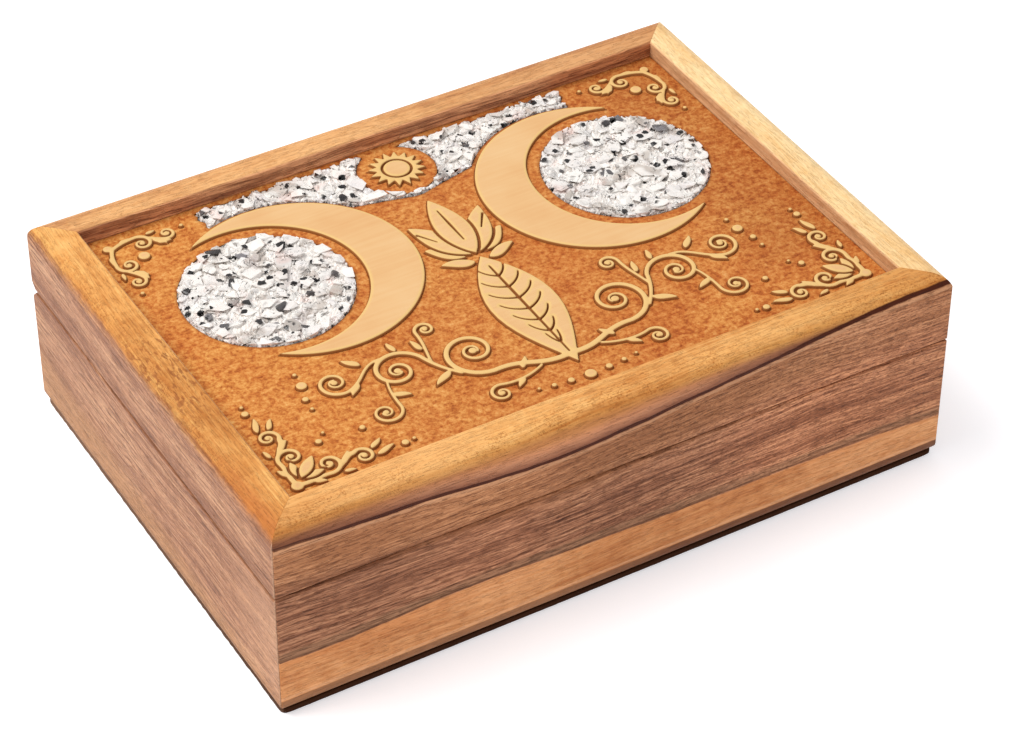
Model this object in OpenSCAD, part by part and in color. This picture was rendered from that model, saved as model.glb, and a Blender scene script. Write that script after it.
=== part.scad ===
// Hinged wooden deck box with a sunken, inlaid lid panel.
// Origin: centre of the footprint on the table. +X runs along the long side,
// +Y points to the hinge side, +Z up. Millimetres.

/* [Box] */
// Length over the walls, left to right
box_l = 178; // [160:1:220]
// Width over the walls, front to back
box_w = 127; // [120:1:160]
// Height from the table to the top of the lid rails
box_h = 54.5; // [50:0.5:70]
// Thickness of the base walls and of the lid rails
wall_t = 9.5; // [9:0.25:11]
// Height of the line where the lid parts from the base
split_z = 35.5; // [28:0.5:37]
// Gap between the closed lid and the base
split_gap = 0.2; // [0.1:0.05:0.4]
// Small chamfer along the meeting edges and the upright corners
arris = 0.5; // [0.2:0.1:1]

/* [Lid] */
// Radius of the roundover on the outer top edge of the rails
rail_round = 4.5; // [2:0.25:5]
// Depth of the panel's engraved ground below the rail tops
panel_drop = 4.4; // [3:0.1:6]
// Thickness of the panel at its engraved ground
panel_t = 5.2; // [4.5:0.1:6]
// Depth of the groove that holds the panel
panel_tongue = 3.5; // [2:0.25:4]
// Height of the raised figures above the ground
relief_h = 0.8; // [0.4:0.1:1.2]

/* [Stone inlays] */
// Radius of each round stone inlay
disc_r = 20.9; // [18:0.1:23]
// Distance of each round inlay from the middle of the lid
disc_x = 49; // [46:0.2:52]
// Position of the round inlays towards the hinge side
disc_y = 16.8; // [14:0.2:20]
// Depth of the inlay pockets below the engraved ground
pocket_d = 2; // [1:0.25:3]
// Height of the stone above the engraved ground
stone_h = 1.5; // [1:0.1:2]

/* [Base] */
// Thickness of the plywood bottom board
bottom_t = 3; // [2.5:0.25:4]
// Depth of the rabbet that holds the bottom board
rabbet_d = 5; // [3:0.5:6]
// Thickness of the dark felt sheet under the box
felt_t = 1.4; // [0.8:0.1:2]
// Radius of the roundover on the lower outer edges of the base
base_round = 2.5; // [0.4:0.1:3]
// Distance of the felt's edge in from the outer faces
felt_inset = 0.9; // [0:0.1:2]
// Thickness of the velvet covered cards inside
lining_t = 1.2; // [0.8:0.1:2]

/* [Hinges] */
// Distance of each hinge from the middle of the back edge
hinge_x = 54; // [35:1:60]
// Length of each hinge
hinge_l = 25; // [18:1:28]
// Width of a hinge leaf, from the pin to its free edge
leaf_w = 6.6; // [5.5:0.1:6.8]
// Thickness of a hinge leaf
leaf_t = 0.85; // [0.7:0.05:1]
// Outer radius of the knuckles
knuckle_r = 1.6; // [1.4:0.05:1.7]
// Diameter of the hinge pin
pin_d = 1.4; // [1.2:0.05:1.6]
// Distance of the pin in from the back face
pin_inset = 2; // [1.9:0.05:2.2]
// Size of the bevel along the hinge edge that lets the lid swing
swing_bevel = 2.6; // [2.4:0.1:2.8]

/* [Hidden] */
$fn = 64;

hl = box_l / 2;
hw = box_w / 2;
il = hl - wall_t;                     // half length of the opening
iw = hw - wall_t;                     // half width of the opening
base_top = split_z - split_gap / 2;
lid_bot = split_z + split_gap / 2;
ground_z = box_h - panel_drop;        // engraved ground of the panel
panel_z = ground_z - panel_t;         // underside of the panel
pocket_z = ground_z - pocket_d;
bottom_z = felt_t;                    // underside of walls and bottom board
pin_y = hw - pin_inset;
pin_z = split_z;
knuckle_l = (hinge_l - 0.4) / 3;      // three knuckles, 0.2 apart
screw_r = 0.9;
screw_head_r = 1.75;
screw_y = pin_y - knuckle_r - 2.9;
screw_dx = hinge_l * 0.32;
moon_r = disc_r * 1.38;               // outer edge of the crescents
moon_cut = disc_r + 3.2;              // inner edge of the crescents
moon_x = disc_x - 9.1;

// ---------- wood sections ----------

// Plan of one side between its two mitres, with eased outer corners; l runs along X
module mitre_plan(l, w, t) {
    a = arris / 2;
    polygon([[-l + arris, -w], [l - arris, -w], [l - a, -w + a],
             [l - t, -w + t], [-l + t, -w + t], [-l + a, -w + a]]);
}

module mitre_prism(l, w, t, z0, z1) {
    translate([0, 0, z0]) linear_extrude(z1 - z0) mitre_plan(l, w, t);
}

// Bevels cut across the hinge edge so that the lid can swing
module swing_cut_base() {
    translate([-hl - 2, 0, 0]) rotate([90, 0, 90]) linear_extrude(2 * hl + 4)
        polygon([[hw - swing_bevel, base_top], [hw + 1, base_top - swing_bevel - 1],
                 [hw + 1, base_top + 1], [hw - swing_bevel - 1, base_top + 1],
                 [hw - swing_bevel - 1, base_top]]);
}

module swing_cut_lid() {
    translate([-hl - 2, 0, 0]) rotate([90, 0, 90]) linear_extrude(2 * hl + 4)
        polygon([[hw - swing_bevel, lid_bot], [hw + 1, lid_bot + swing_bevel + 1],
                 [hw + 1, lid_bot - 1], [hw - swing_bevel - 1, lid_bot - 1],
                 [hw - swing_bevel - 1, lid_bot]]);
}

// Base wall section in the plane across the wall: u = 0 at the outer face
function base_section(eased) = concat(
    [for (i = [0 : 6]) let (a = 180 + i * 15)
        [base_round + base_round * cos(a), bottom_z + base_round + base_round * sin(a)]],
    [[wall_t - rabbet_d, bottom_z], [wall_t - rabbet_d, bottom_z + bottom_t],
     [wall_t, bottom_z + bottom_t], [wall_t, base_top],
     [eased ? arris : 0, base_top], [0, base_top - (eased ? arris : 0)]]);

// Lid rail section with its panel groove; the roundover is a fine arc
function lid_section(eased) = concat(
    [[eased ? arris : 0, lid_bot], [wall_t, lid_bot], [wall_t, panel_z],
     [wall_t - panel_tongue, panel_z], [wall_t - panel_tongue, ground_z], [wall_t, ground_z],
     [wall_t, box_h - 0.4], [wall_t - 0.4, box_h]],
    [for (i = [0 : 12]) let (a = 90 + i * 90 / 12)
        [rail_round + rail_round * cos(a), box_h - rail_round + rail_round * sin(a)]],
    [[0, lid_bot + (eased ? arris : 0)]]);

// A side standing along X at distance w from the middle, outer face towards -Y
module side(l, w, section) {
    intersection() {
        translate([-l - 1, -w, 0]) rotate([90, 0, 90]) linear_extrude(2 * l + 2) polygon(section);
        mitre_prism(l, w, wall_t, -1, box_h + 1);
    }
}

// ---------- hinge cut-outs ----------

module per_hinge() { for (s = [-1, 1]) translate([s * hinge_x, 0, 0]) children(); }

module knuckle_room() {
    translate([-hinge_l / 2 - 0.25, pin_y, pin_z]) rotate([0, 90, 0])
        cylinder(r = knuckle_r + 0.3, h = hinge_l + 0.5);
}

module pilot_holes(up) {
    for (s = [-1, 1]) translate([s * screw_dx, screw_y, up ? lid_bot : base_top - 7])
        cylinder(r = screw_r, h = 7, $fn = 32);
}

// ---------- base ----------

module base_front_wall() color("#8f6142") side(hl, hw, base_section(true));

module base_back_wall() color("#8f6142") difference() {
    rotate([0, 0, 180]) side(hl, hw, base_section(false));
    swing_cut_base();
    per_hinge() {
        knuckle_room();
        translate([-hinge_l / 2 - 0.05, pin_y - leaf_w - 0.05, base_top - leaf_t])
            cube([hinge_l + 0.1, leaf_w + 3, 3]);
        pilot_holes(false);
    }
}

module base_end_wall(a) difference() {
    rotate([0, 0, a]) side(hw, hl, base_section(true));
    swing_cut_base();
}
module base_left_wall() color("#b07a52") base_end_wall(-90);
module base_right_wall() color("#9c6a48") base_end_wall(90);

module bottom_board() color("#c9a070")
    translate([-il - rabbet_d + 0.1, -iw - rabbet_d + 0.1, bottom_z])
        cube([2 * (il + rabbet_d - 0.1), 2 * (iw + rabbet_d - 0.1), bottom_t]);

module base_felt() color("#2a2624")
    translate([-hl + felt_inset, -hw + felt_inset, 0])
        cube([box_l - 2 * felt_inset, box_w - 2 * felt_inset, felt_t]);

module lining(z) translate([-il + 0.2, -iw + 0.2, z]) cube([2 * il - 0.4, 2 * iw - 0.4, lining_t]);
module floor_lining() color("#26222b") lining(bottom_z + bottom_t);

// ---------- lid ----------

module lid_front_rail() color("#d0913f") side(hl, hw, lid_section(true));

module lid_back_rail() color("#dca368") difference() {
    rotate([0, 0, 180]) side(hl, hw, lid_section(false));
    swing_cut_lid();
    per_hinge() {
        knuckle_room();
        translate([-hinge_l / 2 - 0.05, pin_y - leaf_w - 0.05, lid_bot + leaf_t - 3])
            cube([hinge_l + 0.1, leaf_w + 3, 3]);
        pilot_holes(true);
    }
}

module lid_end_rail(a) difference() {
    rotate([0, 0, a]) side(hw, hl, lid_section(true));
    swing_cut_lid();
}
module lid_left_rail() color("#d69a5c") lid_end_rail(-90);
module lid_right_rail() color("#efd29a") lid_end_rail(90);

module lid_lining() color("#26222b") lining(panel_z - lining_t);

// Plan of the stone band along the back: a shallow arch over the two moons
band_y = iw - 1.2;
band_w = 50;
function band_low(x) = 31.2 + 10.5 * pow(abs(x) / band_w, 0.85) + 3 * pow(abs(x) / band_w, 9);
band_outline = concat(
    [[band_w + 0.6, band_y], [-band_w - 0.6, band_y]],
    [for (i = [-12 : 12]) let (x = i * band_w / 12) [x, band_low(x)]]);

module band_solid(z, h) {
    translate([0, 0, z]) difference() {
        linear_extrude(h) polygon(band_outline);
        for (s = [-1, 1]) translate([s * moon_x, disc_y, -1]) cylinder(r = moon_r + 1, h = h + 2);
        translate([0, sun_y, -1]) cylinder(r = 9.8, h = h + 2);
    }
}

module moon() difference() {
    translate([moon_x, disc_y, ground_z - 0.2]) cylinder(r = moon_r, h = relief_h + 0.2);
    translate([disc_x, disc_y, ground_z - 1]) cylinder(r = moon_cut, h = relief_h + 2);
}

// A pointed leaf, from the meeting of two discs; it points along +Y from its foot
module leaf(len, wid) {
    r = (len * len / 4 + wid * wid / 4) / wid;
    translate([0, len / 2, 0]) intersection() {
        translate([r - wid / 2, 0, 0]) cylinder(r = r, h = relief_h + 0.2);
        translate([-r + wid / 2, 0, 0]) cylinder(r = r, h = relief_h + 0.2);
    }
}

// Blossom over a long leaf, with a small sun above it
sun_y = 43.2;
function sun_outline() = [for (i = [0 : 31]) let (r = i % 2 == 0 ? 7.4 : 5) [r * sin(i * 11.25), r * cos(i * 11.25)]];
module blossom() translate([0, 0, ground_z - 0.2]) {
    translate([0, sun_y, 0]) linear_extrude(relief_h + 0.2) polygon(sun_outline());
    translate([0, -42.3, 0]) leaf(45, 16.4);
    translate([0, 4.2, 0]) {
        leaf(24, 8.4);
        for (s = [-1, 1]) {
            rotate([0, 0, s * 31]) translate([0, 1.6, 0]) leaf(17, 6.2);
            rotate([0, 0, s * 58]) translate([0, 2.6, 0]) leaf(8.6, 4);
            translate([-s * 2.2, -3, 0]) rotate([0, 0, s * 84]) leaf(8, 3);
        }
    }
}

module lid_panel() color("#c9803f") difference() {
    union() {
        translate([-il - panel_tongue + 0.1, -iw - panel_tongue + 0.1, panel_z])
            cube([2 * (il + panel_tongue - 0.1), 2 * (iw + panel_tongue - 0.1), panel_t]);
        moon();
        mirror([1, 0, 0]) moon();
        blossom();
    }
    for (s = [-1, 1]) translate([s * disc_x, disc_y, pocket_z]) cylinder(r = disc_r, h = 5);
    band_solid(pocket_z, 5);
}

module round_stone(s) translate([s * disc_x, disc_y, pocket_z])
    cylinder(r = disc_r - 0.05, h = pocket_d + stone_h);
module left_stone_inlay() color("#e4e2e2") round_stone(-1);
module right_stone_inlay() color("#e4e2e2") round_stone(1);
module back_stone_inlay() color("#e4e2e2") band_solid(pocket_z, pocket_d + stone_h);

// ---------- hinges ----------

// Knuckle number i of three, along X from the hinge's left end
module knuckle(i, bore_r) {
    translate([-hinge_l / 2 + i * (knuckle_l + 0.2), pin_y, pin_z]) rotate([0, 90, 0]) difference() {
        cylinder(r = knuckle_r, h = knuckle_l);
        translate([0, 0, -1]) cylinder(r = bore_r, h = knuckle_l + 2);
    }
}

module screw_seats(z, up) {
    for (s = [-1, 1]) translate([s * screw_dx, screw_y, z]) mirror([0, 0, up ? 0 : 1]) {
        cylinder(r1 = screw_head_r + 0.03, r2 = screw_r + 0.03, h = leaf_t, $fn = 32);
        translate([0, 0, -1]) cylinder(r = screw_r + 0.03, h = 4, $fn = 32);
    }
}

module leaf_plate(knuckles, z) {
    // plate, and the tongues that run out to this leaf's own knuckles
    difference() {
        union() {
            translate([-hinge_l / 2, pin_y - leaf_w, z])
                cube([hinge_l, leaf_w - knuckle_r - 0.35, leaf_t]);
            for (i = knuckles) translate([-hinge_l / 2 + i * (knuckle_l + 0.2), pin_y - leaf_w + 1, z])
                cube([knuckle_l, leaf_w - 1, leaf_t]);
        }
        translate([-hinge_l / 2 - 1, pin_y, pin_z]) rotate([0, 90, 0])
            cylinder(r = knuckle_r - 0.2, h = hinge_l + 2);
    }
}

module base_leaf() color("#c9a24a") {
    difference() {
        union() {
            leaf_plate([0, 2], base_top - leaf_t);
            knuckle(0, pin_d / 2);
            knuckle(2, pin_d / 2);
        }
        screw_seats(base_top, false);
    }
}

module lid_leaf() color("#c9a24a") {
    difference() {
        union() {
            leaf_plate([1], lid_bot);
            knuckle(1, pin_d / 2 + 0.05);
        }
        screw_seats(lid_bot, true);
    }
}

module hinge_pin() color("#b8923e") translate([-hinge_l / 2, pin_y, pin_z]) rotate([0, 90, 0])
    cylinder(d = pin_d, h = hinge_l);

// Countersunk wood screw with a slotted head, head face at z = 0, shank along -Z
module screw() difference() {
    union() {
        translate([0, 0, -leaf_t]) cylinder(r1 = screw_r, r2 = screw_head_r, h = leaf_t, $fn = 32);
        translate([0, 0, -6.4]) cylinder(r = screw_r, h = 6.4 - leaf_t, $fn = 32);
    }
    rotate([0, 0, 35]) translate([-3, -0.22, -0.4]) cube([6, 0.44, 1]);
}

module hinge_leaf_base_left() translate([-hinge_x, 0, 0]) base_leaf();
module hinge_leaf_base_right() translate([hinge_x, 0, 0]) base_leaf();
module hinge_leaf_lid_left() translate([-hinge_x, 0, 0]) lid_leaf();
module hinge_leaf_lid_right() translate([hinge_x, 0, 0]) lid_leaf();
module hinge_pin_left() translate([-hinge_x, 0, 0]) hinge_pin();
module hinge_pin_right() translate([hinge_x, 0, 0]) hinge_pin();
module base_hinge_screws() color("#b8923e") per_hinge()
    for (s = [-1, 1]) translate([s * screw_dx, screw_y, base_top]) screw();
module lid_hinge_screws() color("#b8923e") per_hinge()
    for (s = [-1, 1]) translate([s * screw_dx, screw_y, lid_bot]) mirror([0, 0, 1]) screw();

base_front_wall();
base_back_wall();
base_left_wall();
base_right_wall();
bottom_board();
base_felt();
floor_lining();
lid_front_rail();
lid_back_rail();
lid_left_rail();
lid_right_rail();
lid_panel();
left_stone_inlay();
right_stone_inlay();
back_stone_inlay();
lid_lining();
hinge_leaf_base_left();
hinge_leaf_base_right();
hinge_leaf_lid_left();
hinge_leaf_lid_right();
hinge_pin_left();
hinge_pin_right();
base_hinge_screws();
lid_hinge_screws();
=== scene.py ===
import math, random
import bpy, bmesh
import numpy as np
from mathutils import Matrix, Vector, geometry


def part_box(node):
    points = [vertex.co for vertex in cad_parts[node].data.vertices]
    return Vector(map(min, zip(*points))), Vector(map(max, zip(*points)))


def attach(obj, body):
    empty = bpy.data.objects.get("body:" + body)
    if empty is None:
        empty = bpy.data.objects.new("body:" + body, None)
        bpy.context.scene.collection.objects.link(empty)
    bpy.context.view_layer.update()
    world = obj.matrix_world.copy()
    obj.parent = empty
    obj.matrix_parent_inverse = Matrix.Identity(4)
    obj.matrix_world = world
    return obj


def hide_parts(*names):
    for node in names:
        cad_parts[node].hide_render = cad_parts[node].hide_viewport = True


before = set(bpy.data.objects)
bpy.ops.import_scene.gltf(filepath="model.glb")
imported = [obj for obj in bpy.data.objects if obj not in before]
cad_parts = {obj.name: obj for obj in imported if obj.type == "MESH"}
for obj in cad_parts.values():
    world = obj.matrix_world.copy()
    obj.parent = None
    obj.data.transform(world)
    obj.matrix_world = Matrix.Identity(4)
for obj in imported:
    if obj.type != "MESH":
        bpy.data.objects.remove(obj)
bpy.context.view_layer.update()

scene = bpy.context.scene
scene.view_settings.view_transform = "Standard"
scene.view_settings.look = "None"
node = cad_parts
MM = 0.001

# Sizes shared with the CAD source, in millimetres
HL, HW, TOP = 89.0, 63.5, 54.5
IL, IW = 79.5, 54.0
GROUND, RELIEF, POCKET, PANEL_LOW = 50.1, 0.8, 48.1, 44.9
DISC_X, DISC_Y, DISC_R = 49.0, 16.8, 20.9
MOON_X, MOON_R, MOON_CUT = 39.9, 28.84, 24.1
SUN_Y = 43.2
UP = 3.5                                     # the materials count z from this height above the table


# ---------------------------------------------------------------- camera

def make_camera():
    az, el, roll = math.radians(-30.498), math.radians(39.465), math.radians(0.194)
    back = Vector((math.sin(az) * math.cos(el), -math.cos(az) * math.cos(el), math.sin(el)))
    right = Vector((math.cos(az), math.sin(az), 0))
    up = back.cross(right)
    r = math.cos(roll) * right + math.sin(roll) * up
    u = -math.sin(roll) * right + math.cos(roll) * up
    data = bpy.data.cameras.new("camera")
    data.sensor_width, data.lens = 36.0, 117.34
    data.clip_start, data.clip_end = 0.05, 20
    cam = bpy.data.objects.new("camera", data)
    scene.collection.objects.link(cam)
    m = Matrix((r, u, back)).transposed().to_4x4()
    m.translation = Vector((-0.533, -13.275, 27.123)) * MM + back * 0.789
    cam.matrix_world = m
    scene.camera = cam


make_camera()


# ---------------------------------------------------------------- node helper

class Shade:
    """A material with a Principled shader, and short calls that add nodes to it."""

    def __init__(self, name):
        self.mat = bpy.data.materials.new(name)
        self.mat.use_nodes = True
        self.nt = self.mat.node_tree
        self.nt.nodes.clear()
        out = self.nt.nodes.new("ShaderNodeOutputMaterial")
        self.bsdf = self.nt.nodes.new("ShaderNodeBsdfPrincipled")
        self.nt.links.new(self.bsdf.outputs[0], out.inputs["Surface"])
        tc = self.nt.nodes.new("ShaderNodeTexCoord")
        self.mm = self.vec("MULTIPLY", tc.outputs["Object"], (1000, 1000, 1000))
        self.x, self.y, self.z = self.split(self.mm)
        self.z = self.math("SUBTRACT", self.z, UP)

    def put(self, socket, value):
        if isinstance(value, bpy.types.NodeSocket):
            self.nt.links.new(value, socket)
        elif value is not None:
            socket.default_value = value

    def math(self, op, a, b=None, c=None, clamp=False):
        n = self.nt.nodes.new("ShaderNodeMath")
        n.operation, n.use_clamp = op, clamp
        for i, v in enumerate((a, b, c)):
            self.put(n.inputs[i], v)
        return n.outputs[0]

    def vec(self, op, a, b=None):
        n = self.nt.nodes.new("ShaderNodeVectorMath")
        n.operation = op
        self.put(n.inputs[0], a)
        if b is not None:
            self.put(n.inputs[1], b)
        return n.outputs["Value"] if op in ("LENGTH", "DISTANCE", "DOT_PRODUCT") else n.outputs["Vector"]

    def split(self, v):
        n = self.nt.nodes.new("ShaderNodeSeparateXYZ")
        self.put(n.inputs[0], v)
        return n.outputs[0], n.outputs[1], n.outputs[2]

    def join(self, x, y, z):
        n = self.nt.nodes.new("ShaderNodeCombineXYZ")
        for i, v in enumerate((x, y, z)):
            self.put(n.inputs[i], v)
        return n.outputs[0]

    def noise(self, v, scale=1.0, detail=3.0, rough=0.5, distortion=0.0, colour=False):
        n = self.nt.nodes.new("ShaderNodeTexNoise")
        self.put(n.inputs["Vector"], v)
        self.put(n.inputs["Scale"], scale)
        self.put(n.inputs["Detail"], detail)
        self.put(n.inputs["Roughness"], rough)
        self.put(n.inputs["Distortion"], distortion)
        return n.outputs["Color"] if colour else n.outputs[0]

    def voronoi(self, v, scale=1.0, feature="F1", out="Distance", rand=1.0):
        n = self.nt.nodes.new("ShaderNodeTexVoronoi")
        n.feature = feature
        self.put(n.inputs["Vector"], v)
        self.put(n.inputs["Scale"], scale)
        self.put(n.inputs["Randomness"], rand)
        return n.outputs[out]

    def ramp(self, fac, stops, interpolation="LINEAR"):
        n = self.nt.nodes.new("ShaderNodeValToRGB")
        n.color_ramp.interpolation = interpolation
        e = n.color_ramp.elements
        while len(e) < len(stops):
            e.new(0.5)
        for i, (p, c) in enumerate(stops):
            e[i].position = p
            e[i].color = (*c, 1) if len(c) == 3 else c
        self.put(n.inputs[0], fac)
        return n.outputs[0]

    def curve(self, fac, points):
        """A smooth function of fac through a few (x, y) points, both from 0 to 1."""
        n = self.nt.nodes.new("ShaderNodeFloatCurve")
        c = n.mapping.curves[0]
        while len(c.points) < len(points):
            c.points.new(0.5, 0.5)
        for p, (x, y) in zip(c.points, points):
            p.location = (x, y)
        n.mapping.update()
        self.put(n.inputs["Value"], fac)
        return n.outputs[0]

    def mix(self, fac, a, b, mode="MIX"):
        n = self.nt.nodes.new("ShaderNodeMix")
        n.data_type, n.blend_type = "RGBA", mode
        self.put(n.inputs[0], fac)
        for i, v in ((6, a), (7, b)):
            if isinstance(v, tuple):
                v = (*v, 1) if len(v) == 3 else v
            self.put(n.inputs[i], v)
        return n.outputs[2]

    def fit(self, v, a, b, c=0.0, d=1.0, smooth=False):
        n = self.nt.nodes.new("ShaderNodeMapRange")
        n.clamp = True
        if smooth:
            n.interpolation_type = "SMOOTHSTEP"
        for i, k in enumerate((v, a, b, c, d)):
            self.put(n.inputs[i], k)
        return n.outputs[0]

    def attribute(self, name):
        n = self.nt.nodes.new("ShaderNodeAttribute")
        n.attribute_name = name
        return n

    def bump(self, height, distance, strength=1.0, normal=None):
        n = self.nt.nodes.new("ShaderNodeBump")
        self.put(n.inputs["Strength"], strength)
        self.put(n.inputs["Distance"], distance)
        self.put(n.inputs["Height"], height)
        if normal is not None:
            self.put(n.inputs["Normal"], normal)
        return n.outputs[0]

    def set(self, **values):
        for k, v in values.items():
            s = self.bsdf.inputs[k.replace("_", " ")]
            if isinstance(v, tuple) and s.type == "RGBA" and len(v) == 3:
                v = (*v, 1)
            self.put(s, v)
        return self.mat


def rgb(r, g, b):
    """A display colour, 0 to 255, as the linear colour that the shader takes."""
    return tuple((c / 255 / 12.92) if c / 255 <= 0.04045 else ((c / 255 + 0.055) / 1.055) ** 2.4 for c in (r, g, b))


def dress(obj, mat):
    obj.data.materials.clear()
    obj.data.materials.append(mat)


# ---------------------------------------------------------------- wood

def grain(t, along, seed, wander=1.0, rings=0.30):
    """Noise fields that run along the grain: a dict of values from 0 to 1."""
    g, a, b = (t.x, t.y, t.z) if along == "X" else (t.y, t.x, t.z)
    s = seed * 31.7
    bend = t.noise(t.join(t.math("MULTIPLY_ADD", g, 0.011, s), t.math("MULTIPLY", a, 0.03), t.math("MULTIPLY", b, 0.035)), 1, 2, 0.5)
    bend = t.math("MULTIPLY", t.math("SUBTRACT", bend, 0.5), 9.0 * wander)
    a2 = t.math("MULTIPLY_ADD", bend, 0.6, a)
    b2 = t.math("ADD", b, bend)
    across = t.math("MULTIPLY_ADD", a2, 0.45, b2)

    def field(along_k, across_k, detail, rough=0.5, off=0.0):
        v = t.join(t.math("MULTIPLY_ADD", g, along_k, s + off), t.math("MULTIPLY", a2, across_k),
                   t.math("MULTIPLY", b2, across_k))
        return t.noise(v, 1, detail, rough)

    f = {}
    f["bands"] = t.noise(t.join(t.math("MULTIPLY_ADD", g, 0.004, s), t.math("MULTIPLY", across, 0.30), s), 1, 3, 0.6)
    f["streak"] = field(0.030, 1.15, 3, 0.62, 3.1)
    f["fibre"] = field(0.12, 3.4, 2, 0.6, 7.7)
    f["pore"] = t.fit(field(0.26, 2.8, 2, 0.55, 12.3), 0.555, 0.615, smooth=True)
    f["curl"] = t.noise(t.join(t.math("MULTIPLY_ADD", g, 0.30, s), t.math("MULTIPLY", a, 0.16), t.math("MULTIPLY", b, 0.22)), 1, 2, 0.5, 0.6)
    f["cloud"] = t.noise(t.join(t.math("MULTIPLY_ADD", g, 0.03, s), t.math("MULTIPLY", a, 0.06), t.math("MULTIPLY", b, 0.07)), 1, 2, 0.5)
    f["speck"] = t.noise(t.join(t.math("MULTIPLY_ADD", g, 0.55, s), t.math("MULTIPLY", a, 0.9), t.math("MULTIPLY", b, 0.9)), 1, 3, 0.65, 0.4)
    # growth rings: dark lines with one sharp side, spaced by the warped distance across the grain
    wob = t.noise(t.join(t.math("MULTIPLY_ADD", g, 0.016, s + 5), t.math("MULTIPLY", a2, 0.10), t.math("MULTIPLY", b2, 0.14)), 1, 3, 0.55)
    saw = t.math("FRACT", t.math("MULTIPLY", t.math("MULTIPLY_ADD", wob, 13.0, across), rings))
    late = t.math("MULTIPLY", t.fit(saw, 0.66, 0.94, smooth=True), t.fit(saw, 1.0, 0.965))
    f["late"] = t.math("MULTIPLY", late, t.fit(f["cloud"], 0.36, 0.60, 0.15, 1.0, True))
    wob = t.noise(t.join(t.math("MULTIPLY_ADD", g, 0.045, s + 9), t.math("MULTIPLY", a2, 0.22), t.math("MULTIPLY", b2, 0.32)), 1, 3, 0.6)
    saw = t.math("FRACT", t.math("MULTIPLY", t.math("MULTIPLY_ADD", wob, 4.6, across), 0.66))
    thin = t.math("MULTIPLY", t.fit(saw, 0.68, 0.84, smooth=True), t.fit(saw, 1.0, 0.96))
    f["thin"] = t.math("MULTIPLY", thin, t.fit(f["fibre"], 0.38, 0.54, 0.25, 1.0, True))
    f["dash"] = t.math("MULTIPLY", t.fit(field(0.13, 2.3, 2, 0.55, 19.1), 0.55, 0.60, smooth=True), t.fit(f["streak"], 0.38, 0.54, 0.3, 1.0, True))
    return f


def tone(t, f, bands=0.45, streak=0.45, fibre=0.25, cloud=0.25, curl=0.12):
    """One value around 0.5 that mixes the fields by weight."""
    v = 0.5
    for k, w in (("bands", bands), ("streak", streak), ("fibre", fibre), ("cloud", cloud), ("curl", curl)):
        d = t.math("MULTIPLY", t.math("SUBTRACT", f[k], 0.5), 3.6 * w)
        v = t.math("ADD", d, v)
    return v


def wood_finish(t, f, colour, rough=0.46, pore_dark=0.45, relief=0.05, coat=0.0):
    """Pores, bump and an oiled sheen over a colour."""
    colour = t.mix(t.math("MULTIPLY", f["pore"], pore_dark), colour, t.mix(1.0, colour, (0.40, 0.29, 0.22), "MULTIPLY"))
    h = t.math("SUBTRACT", t.math("MULTIPLY_ADD", f["fibre"], 0.5, t.math("MULTIPLY", f["streak"], 0.4)), t.math("MULTIPLY", f["pore"], 0.8))
    h = t.math("SUBTRACT", h, t.math("MULTIPLY", f["dash"], 0.4))
    bump = t.bump(h, relief * MM * 2.6, 0.9)
    r = t.fit(f["fibre"], 0.2, 0.8, rough - 0.06, rough + 0.10)
    t.set(Base_Color=colour, Roughness=r, Normal=bump, Specular_IOR_Level=0.12, Coat_Weight=coat, Coat_Roughness=0.3)
    return t.mat


E_TOP, E_RAIL, E_LEFT, E_FRONT = 1.32, 1.10, 1.38, 0.82   # how bright a white surface reads on each side of the box


def seen(r, g, b, e):
    return tuple(min(c / e, 0.92) for c in rgb(r, g, b))


def sap_colour(t, f, e, light=(246, 190, 120), mid=(234, 171, 101), dark=(205, 134, 68)):
    v = tone(t, f, 0.30, 0.26, 0.20, 0.36, 0.14)
    c = t.ramp(v, [(0.12, seen(*dark, e)), (0.5, seen(*mid, e)), (0.88, seen(*light, e))])
    c = t.mix(t.fit(f["speck"], 0.50, 0.66, 0, 0.4, True), c, t.mix(1.0, c, (0.82, 0.70, 0.54), "MULTIPLY"))
    return t.mix(t.math("MULTIPLY", f["dash"], 0.12), c, t.mix(1.0, c, (0.72, 0.56, 0.42), "MULTIPLY"))


def mottled(t, c, mask, dark=(0.64, 0.48, 0.32)):
    """Small golden brown dots where the grain rises to the surface of a rounded edge."""
    n = t.noise(t.mm, 1.9, 3, 0.7)
    mask = t.math("MULTIPLY", mask, t.fit(t.noise(t.mm, 0.16, 3, 0.6), 0.38, 0.58, 0.25, 1.0, True))
    c = t.mix(t.math("MULTIPLY", mask, t.fit(n, 0.52, 0.62, 0, 0.8, True)), c, t.mix(1.0, c, dark, "MULTIPLY"))
    return t.mix(t.math("MULTIPLY", mask, t.fit(n, 0.46, 0.38, 0, 0.7, True)), c, t.mix(1.0, c, (1.10, 1.10, 0.98), "MULTIPLY"))


def heart_colour(t, f, e, light=(171, 122, 90), mid=(150, 101, 73), dark=(114, 70, 47), deep=0.58):
    v = tone(t, f, 0.46, 0.36, 0.30, 0.22, 0.08)
    c = t.ramp(v, [(0.10, seen(*dark, e)), (0.46, seen(*mid, e)), (0.86, seen(*light, e))])
    c = t.mix(t.math("MULTIPLY", f["late"], deep * 1.2), c, t.mix(1.0, c, (0.42, 0.32, 0.27), "MULTIPLY"))
    return t.mix(t.math("MULTIPLY", f["dash"], deep), c, t.mix(1.0, c, (0.50, 0.40, 0.34), "MULTIPLY"))


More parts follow.
